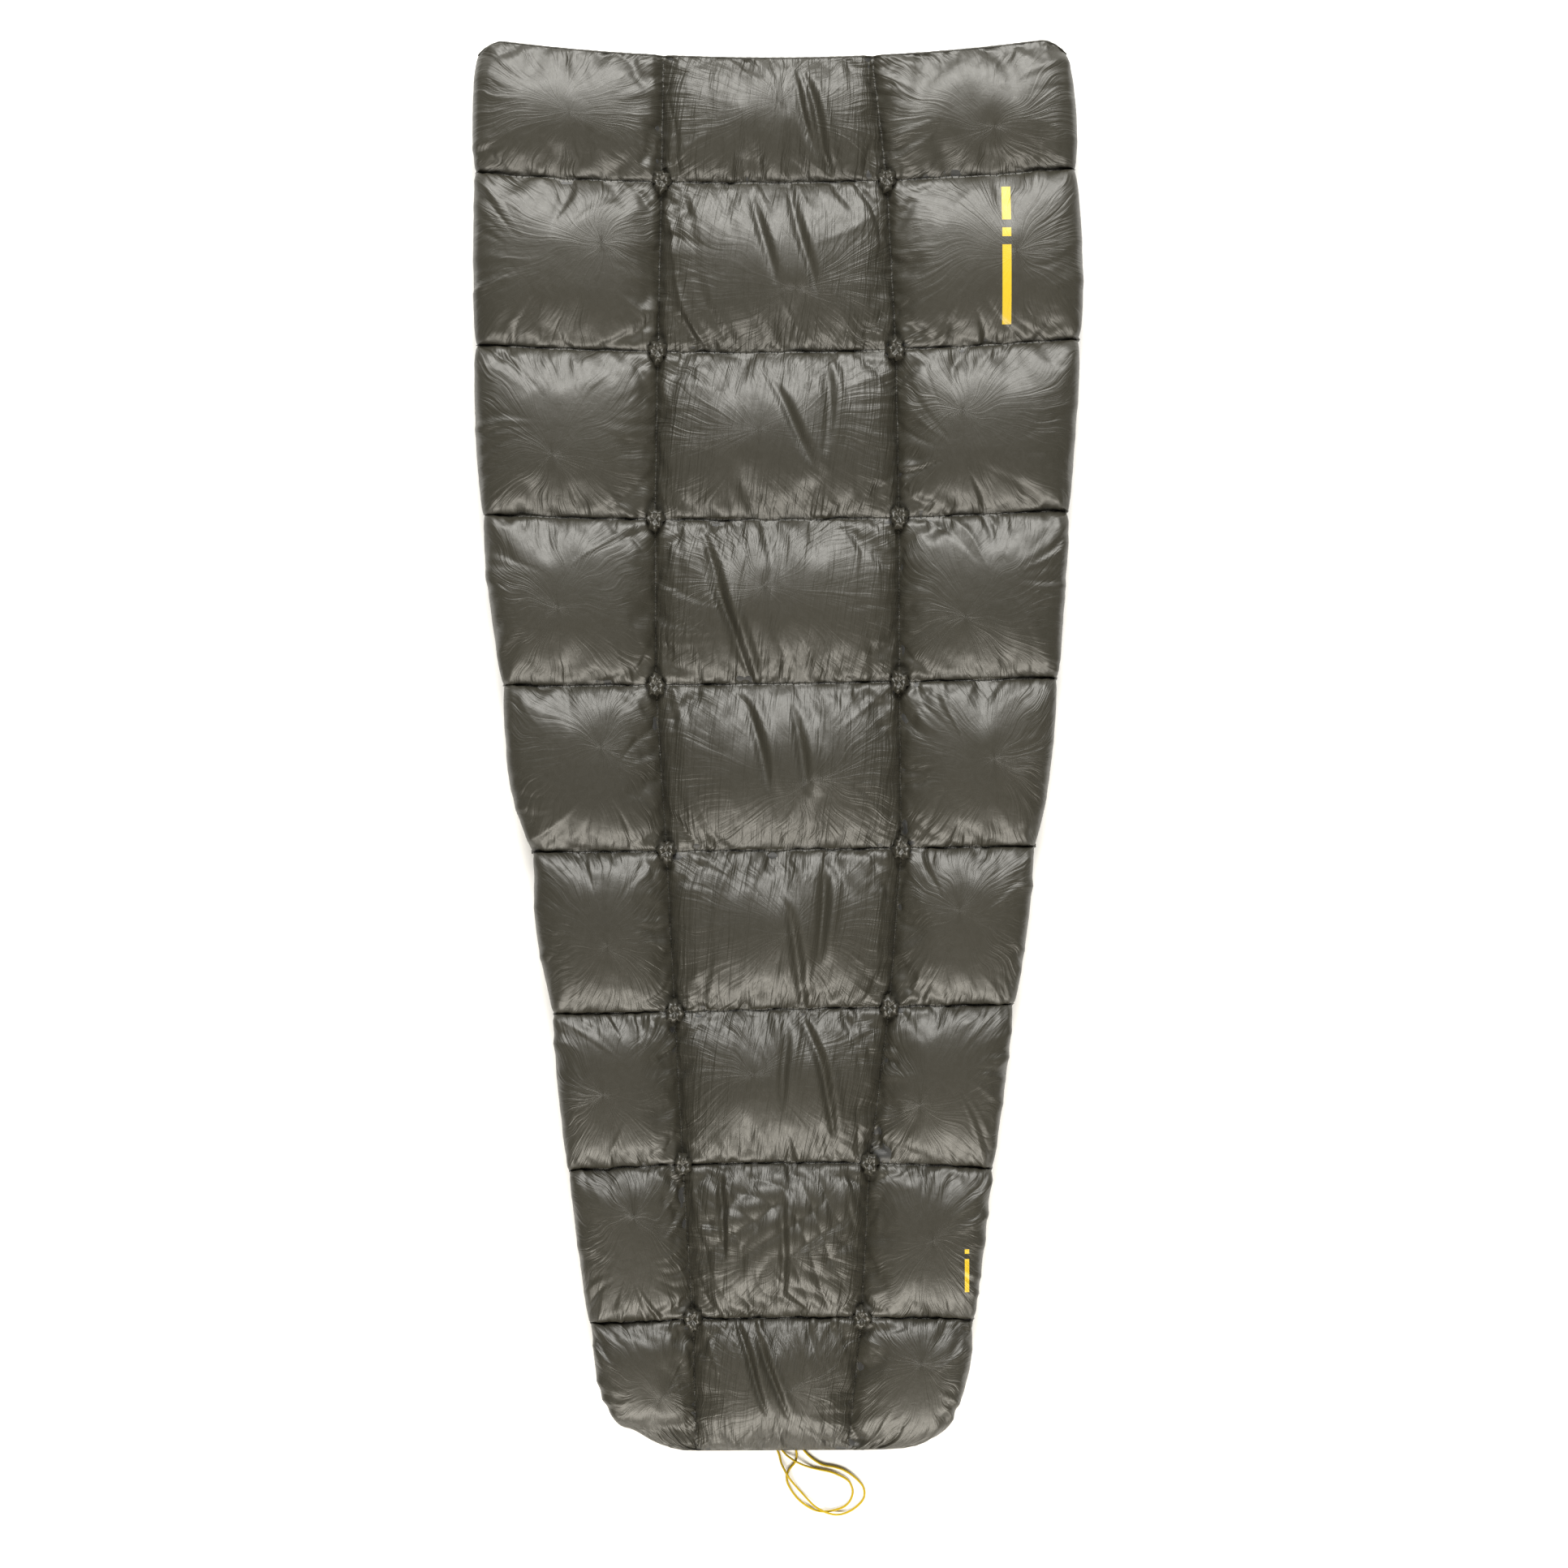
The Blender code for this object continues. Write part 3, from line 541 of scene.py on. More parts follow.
def ring_faces(high: int, wide: int, flip: bool = False) -> Grid:
    """Quads of a stack of closed rings.

    Args:
        high: rings.
        wide: points in a ring.
        flip: turns the faces over.

    Returns:
        The quads, as point numbers.
    """
    index = np.arange(high * wide).reshape(high, wide)
    after = np.roll(index, -1, axis=1)
    order = [index[:-1], after[:-1], after[1:], index[1:]]
    if flip:
        order[1:] = order[:0:-1]
    return np.stack(order, -1).reshape(-1, 4)


def joined(parts: list[tuple[Grid, Grid]]) -> tuple[Grid, Grid]:
    """Several meshes as one.

    Args:
        parts: points and faces of each mesh.

    Returns:
        Points and faces of them all.
    """
    starts = np.cumsum([0, *(len(points) for points, _ in parts)])
    faces = [part[1] + start for part, start in zip(parts, starts)]
    return np.concatenate([points for points, _ in parts]), np.concatenate(faces)


def on_body(piece: bpy.types.Object, body: str, slot: str, *stands_for: str) -> None:
    """Puts a piece on a body's empty and hides the CAD nodes it stands for.

    Args:
        piece: the object.
        body: the body it rides on.
        slot: not used.
        stands_for: the CAD nodes it replaces, if any.
    """
    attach(piece, body)
    if stands_for:
        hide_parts(*stands_for)


def neighbours(points: Grid) -> Grid:
    """Mean of each point's four neighbours on the grid."""
    return sum(np.roll(points, shift, axis) for axis in (0, 1) for shift in (1, -1)) / 4


def tube_mesh(path: Grid, radius: Grid, sides: int = 8) -> tuple[Grid, Grid]:
    """A closed round tube along a path.

    Args:
        path: N by 3 positions.
        radius: N by sides radii, or N radii.
        sides: points round the tube.

    Returns:
        Points and quads; the ends are closed by rings drawn to a point.
    """
    radius = radius if radius.ndim == 2 else np.repeat(radius[:, None], sides, 1)
    path = np.concatenate([path[:1], path, path[-1:]])
    radius = np.concatenate([radius[:1] * 0.02, radius, radius[-1:] * 0.02])
    along = np.gradient(path, axis=0)
    along[0], along[-1] = along[1], along[-2]
    along /= np.maximum(np.linalg.norm(along, axis=1, keepdims=True), 1e-12)
    normal = np.zeros_like(path)
    start = np.cross(along[0], (0.0, 0.0, 1.0))
    if np.linalg.norm(start) < 0.1:
        start = np.cross(along[0], (1.0, 0.0, 0.0))
    normal[0] = start / np.linalg.norm(start)
    for k in range(1, len(path)):
        carried = normal[k - 1] - along[k] * (normal[k - 1] @ along[k])
        normal[k] = carried / np.linalg.norm(carried)
    other = np.cross(along, normal)
    angle = np.arange(sides) * 2 * math.pi / sides
    ring = normal[:, None] * np.cos(angle)[None, :, None] + other[:, None] * np.sin(angle)[None, :, None]
    points = path[:, None] + ring * radius[..., None]
    return points.reshape(-1, 3), ring_faces(len(path), sides)


def smooth_curve(points: Grid, steps: int) -> Grid:
    """A smooth curve through points.

    Args:
        points: N by 3 numbers.
        steps: steps from one point to the next.

    Returns:
        The curve's points, ends included.
    """
    rows = np.concatenate([2 * points[:1] - points[1:2], points, 2 * points[-1:] - points[-2:-1]])
    p, q, r, s = (rows[k : len(rows) - 3 + k, None] for k in range(4))
    t = (np.arange(steps) / steps)[None, :, None]
    curve = q + ((r - p) * t + (2 * p - 5 * q + 4 * r - s) * t**2 + (3 * q - p - 3 * r + s) * t**3) / 2
    return np.concatenate([curve.reshape(-1, 3), points[-1:]])


def even_path(points: Grid, step: float) -> Grid:
    """Evenly spaced points on a line through the given points.

    Args:
        points: N by 3 positions.
        step: metres between the new points.

    Returns:
        The new points, ends included.
    """
    lengths = np.concatenate([[0.0], np.cumsum(np.linalg.norm(np.diff(points, axis=0), axis=1))])
    count = max(2, int(round(lengths[-1] / step)) + 1)
    wanted = np.linspace(0.0, lengths[-1], count)
    return np.stack([np.interp(wanted, lengths, points[:, k]) for k in range(3)], 1)


# ---------------------------------------------------------------- the quilt's seam net


@dataclass
class SeamNet:
    """Where the seams, edges and folds of the quilt run, in metres.

    Row 0 is the head edge and row 9 the foot edge. Across, the quilt is one wrapped sheet: -1 to 0 is the
    left side folded under, 0 to 3 the three columns on top, and 3 to 4 the right side folded under.
    """

    rows: tuple[tuple[float, ...], ...] = (
        (0.9472, 0.9198, 0.9450, -0.1522, 0.1281),
        (0.7687, 0.7534, 0.7709, -0.1553, 0.1470),
        (0.5387, 0.5256, 0.5420, -0.1619, 0.1578),
        (0.3099, 0.3011, 0.3121, -0.1664, 0.1610),
        (0.0799, 0.0810, 0.0865, -0.1665, 0.1598),
        (-0.1434, -0.1424, -0.1380, -0.1534, 0.1619),
        (-0.3614, -0.3559, -0.3504, -0.1436, 0.1444),
        (-0.5716, -0.5617, -0.5716, -0.1337, 0.1170),
        (-0.7764, -0.7698, -0.7742, -0.1217, 0.1050),
        (-0.9494, -0.9494, -0.9494, -0.1172, 0.0854),
    )
    outline: tuple[tuple[float, float, float], ...] = (
        (-0.9494, -0.1080, 0.1180),
        (-0.9450, -0.1485, 0.1652),
        (-0.9340, -0.1806, 0.1964),
        (-0.9231, -0.2035, 0.2126),
        (-0.9121, -0.2203, 0.2229),
        (-0.8574, -0.2462, 0.2450),
        (-0.7785, -0.2603, 0.2566),
        (-0.6822, -0.2706, 0.2667),
        (-0.5694, -0.2877, 0.2829),
        (-0.4500, -0.3005, 0.2985),
        (-0.3559, -0.3082, 0.3124),
        (-0.2500, -0.3265, 0.3279),
        (-0.1434, -0.3355, 0.3421),
        (-0.0471, -0.3606, 0.3577),
        (0.0788, -0.3729, 0.3727),
        (0.1938, -0.3875, 0.3798),
        (0.3055, -0.3980, 0.3894),
        (0.4128, -0.4038, 0.3952),
        (0.5387, -0.4070, 0.4060),
        (0.6537, -0.4058, 0.4063),
        (0.7687, -0.4065, 0.4017),
        (0.8508, -0.4049, 0.3975),
        (0.9200, -0.4022, 0.3901),
        (0.9472, -0.3940, 0.3790),
    )
    head_corner: float = 0.020
    back_gap_head: float = 0.145
    zip_half_gap: float = 0.0078
    mouth_at: float = -0.8835
    mouth_half: tuple[float, float] = (0.024, 0.026)
    top_level: float = 0.042
    fold_level: float = 0.029
    under_level: float = 0.016
    foot_level: float = 0.0265
    reach: float = 0.060
    groove_deep: float = 0.0085
    groove_half: float = 0.0075
    row_groove_deep: float = 0.0050
    row_groove_half: float = 0.0055
    cell: float = 0.0050
    under_cell: float = 0.0080

    def __post_init__(self) -> None:
        """Lays out the grid's stations."""
        net = np.array(self.rows)
        top = [round(0.25 / self.cell), round(0.31 / self.cell), round(0.25 / self.cell)]
        counts = [round(0.27 / self.under_cell), *top, round(0.27 / self.under_cell)]
        self.across = self.spread(counts, -1)
        self.along = self.spread([round(h / self.cell) for h in -np.diff(net[:, 1])], 0)
        self.net = net
        self.edges = self.smoothed(np.array(self.outline))

    @staticmethod
    def smoothed(table: Grid) -> Grid:
        """A smooth curve through the outline's points, eight steps to a gap."""
        curve = smooth_curve(table, 8)
        curve[:, 0] = np.maximum.accumulate(curve[:, 0])
        return curve

    @staticmethod
    def spread(counts: list[int], first: int) -> Grid:
        """Stations for boxes of the given cell counts, a little closer together beside each seam.

        Args:
            counts: cells of each box.
            first: number of the first seam.

        Returns:
            The stations.
        """
        parts = []
        for k, count in enumerate(counts):
            share = np.arange(count) / count
            parts.append(first + k + share - 0.25 * np.sin(2 * math.pi * share) / (2 * math.pi))
        return np.concatenate([*parts, [first + len(counts)]])

    def edge(self, y: Grid) -> tuple[Grid, Grid]:
        """Left and right outline at the given Y."""
        left = np.interp(y, self.edges[:, 0], self.edges[:, 1])
        right = np.interp(y, self.edges[:, 0], self.edges[:, 2])
        return left, right

    def back_gap(self, y: Grid) -> Grid:
        """Half the gap between the two back edges: mouth, seam, zip, then the open back.

        Args:
            y: positions along the quilt.

        Returns:
            Half gaps in metres.
        """
        zip_low, zip_high, head = -0.7715, -0.3560, 0.947
        share = np.clip((y - zip_high) / (head - zip_high), 0.0, 1.0)
        gap = self.zip_half_gap + (self.back_gap_head - self.zip_half_gap) * np.sin(share * math.pi / 2)
        closed = np.clip((y - zip_low) / 0.02 + 1.0, 0.0, 1.0)
        gap = 0.0004 + (gap - 0.0004) * closed
        u = np.clip(1 - ((y - self.mouth_at) / self.mouth_half[1]) ** 2, 0.0, 1.0)
        return np.maximum(gap, self.mouth_half[0] * np.sqrt(u))

    def base(self) -> tuple[Grid, Grid, Grid]:
        """The wrapped sheet with no puff.

        Returns:
            The surface as high by wide by 3, and the grids of across and along stations.
        """
        a, b = np.meshgrid(self.across, self.along)
        k = np.minimum(b.astype(int), len(self.net) - 2)
        t = b - k
        lines = (self.net[k, c] * (1 - t) + self.net[k + 1, c] * t for c in range(5))
        left_y, mid_y, right_y, left_x, right_x = lines
        y = mid_y.copy()
        for _ in range(4):
            low, high = self.edge(y)
            gap = self.back_gap(y)
            x = np.select(
                [a < 0, a < 1, a < 2, a < 3],
                [
                    low - a * (-gap - low),
                    low + a * (left_x - low),
                    left_x + (a - 1) * (right_x - left_x),
                    right_x + (a - 2) * (high - right_x),
                ],
                high + (a - 3) * (gap - high),
            )
            w = np.where(x < 0, -x / low, x / high)
            y = mid_y + (right_y - left_y) / 2 * w + ((left_y + right_y) / 2 - mid_y) * w * w
            y = y - self.head_corner * np.clip(1 - b, 0, 1) * np.clip((np.abs(w) - 0.93) / 0.07, 0, 1) ** 2
        reach = np.minimum(x - low, high - x)
        u = np.clip(1 - reach / self.reach, 0.0, 1.0)
        rise = np.sqrt(1 - u * u)
        on_top = (a >= 0) & (a <= 3)
        flat = np.where(on_top, self.top_level, self.under_level)
        level = self.fold_level + (flat - self.fold_level) * rise
        column = np.minimum(np.abs(x - left_x), np.abs(x - right_x))
        level = level - np.where(on_top, self.groove_deep * np.exp(-((column / self.groove_half) ** 2)), 0.0)
        row = np.abs(b - np.clip(np.round(b), 1, 8)) * BOX_LONG
        groove = self.row_groove_deep * np.exp(-((row / self.row_groove_half) ** 2))
        level = level - np.where(on_top, groove, 0.0)
        foot = np.clip(1 - (y - self.net[-1, 1]) / self.reach, 0.0, 1.0)
        level = self.foot_level + (level - self.foot_level) * np.sqrt(1 - foot * foot)
        return np.stack([x, y, level], -1), a, b


@dataclass
class PuffedSkin:
    """The outer skin as sewn cloth: cut larger than its seam net, then blown up by the down behind it."""

    net: SeamNet
    pressure: float = 6.0
    frames: int = 22
    spare: float = 0.12
    top_share: float = 0.60
    calming: int = 3
    top_most: float = 0.0385
    first_lift: float = 0.016
    quick_lift: float = 0.045
    jitter: float = 0.0005
    seed: int = 11

    def seams(self, a: Grid, b: Grid) -> Grid:
        """Where the cloth is sewn down: row seams, the two column seams and every edge."""
        row = np.abs(b - np.round(b)) < 1e-6
        column = (np.abs(a - 1) < 1e-6) | (np.abs(a - 2) < 1e-6) | (a <= -1) | (a >= 4)
        return row | column

    def start_puff(self, a: Grid, b: Grid) -> Grid:
        """Share of the full puff at each station, from 0 at the seams to 1 in mid box."""
        part = np.select([a < 1, a < 2], [(a + 1) / 2, a - 1], (a - 2) / 2)
        rise = np.sin(math.pi * np.clip(part, 0, 1)) * np.sin(math.pi * (b - np.floor(b)))
        return np.clip(rise, 0.0, 1.0) ** 0.6

    def blow_up(self, base: Grid, a: Grid, b: Grid) -> Grid:
        """Runs the cloth with its seams held.

        Args:
            base: the seam surface.
            a: across stations.
            b: along stations.

        Returns:
            The puffed surface.
        """
        high, wide = a.shape
        normal = grid_normals(base)
        rng = np.random.default_rng(self.seed)
        puff = self.start_puff(a, b)
        lift = self.first_lift * puff + rng.normal(0.0, self.jitter, a.shape) * (puff > 0)
        start = base + normal * lift[..., None]
        body = mesh_piece("skin_cloth", start.reshape(-1, 3), grid_faces(high, wide), SHELL)
        held = body.vertex_groups.new(name="sewn")
        held.add(np.nonzero(self.seams(a, b).ravel())[0].tolist(), 1.0, "REPLACE")
        cloth = body.modifiers.new("cloth", "CLOTH")
        made = cloth.settings
        made.quality = 5
        made.mass = 0.15
        made.air_damping = 2.0
        made.tension_stiffness = 22
        made.compression_stiffness = 10
        made.shear_stiffness = 8
        made.bending_stiffness = 0.08
        made.bending_damping = 0.3
        made.use_pressure = True
        made.uniform_pressure_force = self.pressure
        made.vertex_group_mass = "sewn"
        made.shrink_min = -self.spare
        made.effector_weights.gravity = 0.0
        cloth.collision_settings.use_collision = False
        cloth.collision_settings.use_self_collision = False
        cloth.point_cache.frame_end = self.frames
        for step in range(1, self.frames + 1):
            bpy.context.scene.frame_set(step)
        evaluated = body.evaluated_get(bpy.context.evaluated_depsgraph_get())
        data = evaluated.to_mesh()
        points = np.empty(high * wide * 3, np.float32)
        data.vertices.foreach_get("co", points)
        evaluated.to_mesh_clear()
        bpy.context.scene.frame_set(1)
        mesh = body.data
        bpy.data.objects.remove(body, do_unlink=True)
        bpy.data.meshes.remove(mesh)
        return points.reshape(high, wide, 3).astype(float)

    @staticmethod
    def ease(points: Grid, held: Grid) -> Grid:
        """Smooths out any place where the cloth has folded over itself.

        Args:
            points: the settled surface.
            held: true where it is sewn.

        Returns:
            The surface with no face turned over.
        """
        for _ in range(40):
            steep = grid_normals(points)[..., 2] < 0.25
            for axis in (0, 1):
                steep = steep | np.roll(steep, 1, axis) | np.roll(steep, -1, axis)
            steep &= ~held
            steep[[0, -1]] = False
            steep[:, [0, -1]] = False
            points = np.where(steep[..., None], 0.5 * points + 0.5 * neighbours(points), points)
        return points

    def settle(self, base: Grid, puffed: Grid, a: Grid, b: Grid) -> Grid:
        """Brings the puffed cloth to the down's real loft above, and presses it flat on the ground below.

        Args:
            base: the seam surface.
            puffed: the cloth after blowing up.
            a: across stations.
            b: along stations.

        Returns:
            The settled surface.
        """
        moved = puffed - base
        low, high = self.net.edge(base[..., 1])
        inside = np.clip(np.minimum(base[..., 0] - low, high - base[..., 0]) / 0.05, 0.0, 1.0)
        side = 0.35 + 0.45 * inside
        x = base[..., 0] + moved[..., 0] * side
        y = base[..., 1] + moved[..., 1] * 0.8
        up = np.maximum(moved[..., 2], 0.0) * self.top_share
        knee = 0.75 * self.top_most
        over = np.maximum(up - knee, 0.0)
        up = np.minimum(up, knee) + 0.25 * self.top_most * (1 - np.exp(-over / (0.25 * self.top_most)))
        room = np.maximum(base[..., 2] - 0.0006, 0.001)
        down = room * (1 - np.exp(-np.maximum(-moved[..., 2], 0) / (0.55 * room)))
        z = base[..., 2] + np.where(moved[..., 2] > 0, up, -down)
        under = (a < 0) | (a > 3)
        gap = self.net.back_gap(y)
        x = np.where(under & (np.abs(x) < gap), np.sign(base[..., 0]) * gap, x)
        tunnel = 0.0105 * np.exp(-((x / 0.020) ** 2)) * np.clip((-0.885 - y) / 0.02, 0.0, 1.0)
        z = np.where(under, np.maximum(z, tunnel), z)
        sewn = self.seams(a, b)
        points = np.stack([x, y, z], -1)
        for _ in range(self.calming):
            points = np.where(sewn[..., None], points, 0.4 * points + 0.6 * neighbours(points))
        return self.ease(points, sewn | (a < 0.2) | (a > 2.8))


@dataclass
class Skins:
    """The wrapped skin cut into the pieces that move together, with its liner."""

    net: SeamNet = field(default_factory=SeamNet)
    liner_share: float = 0.20
    liner_gap: tuple[float, float] = (0.0005, 0.0040)
    pucker_deep: float = 0.0008
    pucker_long: float = 0.0145
    crease_deep: float = 0.0024
    crease_wide: float = 0.0135
    fold_deep: float = 0.0082
    crumpled_box: tuple[int, int] = (7, 1)
    crumple_deep: float = 0.0060

    def build(self) -> None:
        """Puffs the skin and cuts it into pieces."""
        base, a, b = self.net.base()
        skin = PuffedSkin(self.net)
        shape = skin.settle(base, skin.blow_up(base, a, b), a, b)
        self.coarse, self.base, self.a, self.b = shape, base, a, b
        fine = finer(np.concatenate([shape, a[..., None], b[..., None]], -1))
        self.fine_a, self.fine_b = fine[..., 3], fine[..., 4]
        surface = fine[..., :3]
        surface[..., 2] = np.maximum(surface[..., 2], LOWEST)
        surface = self.crease(self.pucker(surface))
        self.surface, self.normals = surface, grid_normals(surface)
        self.cut_top()
        self.cut_sides()

    def pucker(self, surface: Grid) -> Grid:
        """Adds the small gathers that the stitches draw up beside each seam."""
        a, b = self.fine_a, self.fine_b
        rng = np.random.default_rng(5)
        normal = grid_normals(surface)
        row_gap = np.abs(b - np.round(b)) * BOX_LONG
        near = np.exp(-row_gap / 0.017) * (1 - np.exp(-row_gap / 0.0016))
        phase = rng.uniform(0, 2 * math.pi, 12)
        wander = sum(np.sin(a * (3.1 + 2.3 * k) + phase[k]) for k in range(4))
        lines = np.sin(surface[..., 0] * 2 * math.pi / self.pucker_long + 0.9 * wander + 2.0 * np.round(b))
        deep = self.pucker_deep * near * (0.6 + 0.4 * np.sin(a * 9.0 + b * 2.0))
        column = np.minimum(np.abs(a - 1), np.abs(a - 2))
        column_gap = column * 0.27
        near_column = np.exp(-column_gap / 0.017) * (1 - np.exp(-column_gap / 0.0016))
        bend = sum(np.sin(b * (4.3 + 3.1 * k) + phase[4 + k]) for k in range(4))
        rungs = np.sin(surface[..., 1] * 2 * math.pi / self.pucker_long + 0.9 * bend)
        lift = deep * lines + 0.7 * self.pucker_deep * near_column * rungs
        under = (a < 0) | (a > 3)
        lift = np.where(under, 0.0, lift)
        return surface + normal * lift[..., None]

    def crease(self, surface: Grid) -> Grid:
        """Adds the creases that run in from each box's seams, and the middle column's long slanted folds.

        Args:
            surface: the puffed skin.

        Returns:
            The creased skin.
        """
        a, b = self.fine_a, self.fine_b
        normal = grid_normals(surface)
        lift = np.zeros(a.shape)
        for row in range(9):
            for column in range(-1, 4):
                box = self.window(a, b, (row, row + 1), (column, column + 1))
                rng = np.random.default_rng(1000 + 10 * row + column)
                size = (0.24 if column != 1 else 0.31, BOX_LONG)
                x = (a[box] - column - 0.5) * size[0]
                y = (b[box] - row - 0.5) * size[1]
                lift[box] = self.star(x, y, size, rng)
                if column == 1:
                    lift[box] = 0.6 * lift[box] + self.gathers(x, y, size, rng)
                if (row, column) == self.crumpled_box:
                    lift[box] += self.crumple(x, y, size)
        under = (a < 0) | (a > 3)
        creased = surface + normal * np.where(under, 0.35 * lift, lift)[..., None]
        creased[..., 2] = np.maximum(creased[..., 2], LOWEST)
        gap = self.net.back_gap(creased[..., 1])
        reach = np.where(under, np.maximum(np.abs(creased[..., 0]), gap), np.abs(creased[..., 0]))
        creased[..., 0] = self.sides(surface) * reach
        return creased

    @staticmethod
    def sides(surface: Grid) -> Grid:
        """The sign of X of a surface, never 0."""
        return np.where(surface[..., 0] < 0, -1.0, 1.0)

    def star(self, x: Grid, y: Grid, size: tuple[float, float], rng: np.random.Generator) -> Grid:
        """Creases that run from all four seams of a box towards its middle.

        Args:
            x: place across the box, from its middle.
            y: place along the box, from its middle.
            size: the box's width and length.
            rng: the box's own random numbers.

        Returns:
            Heights in metres.
        """
        reach = np.maximum(np.abs(x) * 2 / size[0], np.abs(y) * 2 / size[1])
        off_x, off_y = rng.uniform(-0.14, 0.14, 2)
        turn = np.arctan2(y / size[1] - off_y, x / size[0] - off_x) / (2 * math.pi) + 0.5
        rim = 2 * (size[0] + size[1])
        count = int(rim / self.crease_wide)
        bent = turn + 0.006 * np.sin(reach * 7.0 + rng.uniform(0, 6.28)) * rng.uniform(0.5, 1.5)
        nodes = np.arange(count + 1) / count
        height = rng.uniform(-1.0, 1.0, count + 1) ** 3
        height[-1] = height[0]
        start = rng.uniform(0.10, 0.75, count + 1)
        start[-1] = start[0]
        wave = np.interp(bent % 1.0, nodes, height)
        begin = np.interp(bent % 1.0, nodes, start)
        share = np.clip((reach - begin) / (1 - begin), 0.0, 1.0)
        fade = share * share * (3 - 2 * share) * np.clip((1 - reach) / 0.05, 0.0, 1.0)
        return self.crease_deep * 1.5 * wave * fade

    def crumple(self, x: Grid, y: Grid, size: tuple[float, float]) -> Grid:
        """Short sharp ridges that cross one another, for the box that is crushed.

        Args:
            x: place across the box, from its middle.
            y: place along the box, from its middle.
            size: the box's width and length.

        Returns:
            Heights in metres.
        """
        fade = np.clip(1 - (2 * x / size[0]) ** 4, 0, 1) * np.clip(1 - (2 * y / size[1]) ** 4, 0, 1)
        first = np.abs(np.sin(x * 44 + y * 20 + 2.4 * np.sin(y * 31 + 0.4)))
        second = np.abs(np.sin(y * 50 - x * 26 + 2.6 * np.sin(x * 33 + 1.1)))
        third = np.abs(np.sin(x * 74 - y * 55 + 2.0 * np.sin(y * 37 + x * 21)))
        return self.crumple_deep * (0.5 * first + 0.5 * second + 0.35 * third - 0.75) * fade

    def gathers(self, x: Grid, y: Grid, size: tuple[float, float], rng: np.random.Generator) -> Grid:
        """Gathers that run along the middle column, with a few long slanted folds.

        Args:
            x: place across the box, from its middle.
            y: place along the box, from its middle.
            size: the box's width and length.
            rng: the box's own random numbers.

        Returns:
            Heights in metres.
        """
        slant = rng.uniform(-0.15, 0.35)
        run = x - slant * y + 0.004 * np.sin(y * 45 + rng.uniform(0, 6.28))
        count = int(size[0] / 0.0095)
        nodes = np.linspace(-size[0] / 2, size[0] / 2, count)
        wave = np.interp(run, nodes, rng.uniform(-1, 1, count) ** 3)
        reach = np.interp(run, nodes, rng.uniform(0.02, 0.10, count))
        edge = size[1] / 2 - np.abs(y)
        side = np.clip((size[0] / 2 - np.abs(x)) / 0.02, 0.0, 1.0)
        fade = np.exp(-((edge / reach) ** 2)) * np.clip(edge / 0.005, 0.0, 1.0)
        height = self.crease_deep * 1.6 * wave * fade
        for _ in range(2):
            at, lean = rng.uniform(-0.30, 0.30) * size[0], rng.uniform(-0.05, 0.55)
            middle, half = rng.uniform(-0.04, 0.04), rng.uniform(0.055, 0.100)
            off = x - at - lean * y + 0.0022 * np.sin(y * 38 + rng.uniform(0, 6.28))
            span = np.clip(1 - ((y - middle) / half) ** 2, 0.0, 1.0)
            valley = np.exp(-((off / (0.0035 + 0.0030 * span)) ** 2))
            ridge = 0.50 * np.exp(-(((off - 0.012) / 0.008) ** 2)) - valley
            height = height + self.fold_deep * rng.uniform(0.6, 1.0) * ridge * span
        return height * side * np.clip(edge / 0.006, 0.0, 1.0)

    def cut(
        self, name: str, rows: tuple[float, float], across: tuple[float, float], finish: object
    ) -> bpy.types.Object:
        """Cuts one piece out of the fine skin.

        Args:
            name: the piece's name.
            rows: first and last row line.
            across: first and last column line.
            finish: its finish.

        Returns:
            The piece.
        """
        part = self.window(self.fine_a, self.fine_b, rows, across)
        points, normals = self.surface[part], self.normals[part].reshape(-1, 3)
        sheet = np.stack([self.fine_a, self.fine_b], -1)[part].reshape(-1, 2)
        faces = grid_faces(*points.shape[:2])
        return mesh_piece(name, points.reshape(-1, 3), faces, finish, normals, sheet)

    @staticmethod
    def span(stations: Grid, limits: tuple[float, float]) -> tuple[int, int]:
        """First and last index between two station values."""
        first, last = (int(np.argmin(np.abs(stations - limit))) for limit in limits)
        return first, last

    def window(
        self, a: Grid, b: Grid, rows: tuple[float, float], across: tuple[float, float]
    ) -> tuple[slice, slice]:
        """The part of a grid between two row lines and two column lines."""
        (top, bottom), (left, right) = self.span(b[:, 0], rows), self.span(a[0], across)
        return slice(top, bottom + 1), slice(left, right + 1)

    def liner(self, name: str, rows: tuple[float, float], across: tuple[float, float]) -> bpy.types.Object:
        """The inner cloth behind a piece: the same seams, with a lower puff to the other side.

        Args:
            name: the piece's name.
            rows: first and last row line.
            across: first and last column line.

        Returns:
            The piece.
        """
        part = self.window(self.a, self.b, rows, across)
        base, shape = self.base[part], self.coarse[part]
        points = shape.copy()
        points[..., 2] = base[..., 2]
        a, b = self.a[part], self.b[part]
        inside = np.where((a < 0) | (a > 3), 1.0, -1.0)
        nearest = np.maximum(inside * base[..., 2], inside * shape[..., 2])
        lift = self.liner_gap[0] + self.liner_gap[1] * PuffedSkin(self.net).start_puff(a, b)
        puff = self.liner_share * np.abs(shape[..., 2] - base[..., 2])
        points[..., 2] = np.maximum(inside * (nearest + lift + puff), 0.0008)
        low, high = self.net.edge(base[..., 1])
        points[..., 0] = np.clip(points[..., 0], low + 0.004, high - 0.004)
        faces = grid_faces(*points.shape[:2], flip=True)
        return mesh_piece(name, points.reshape(-1, 3), faces, LINER)

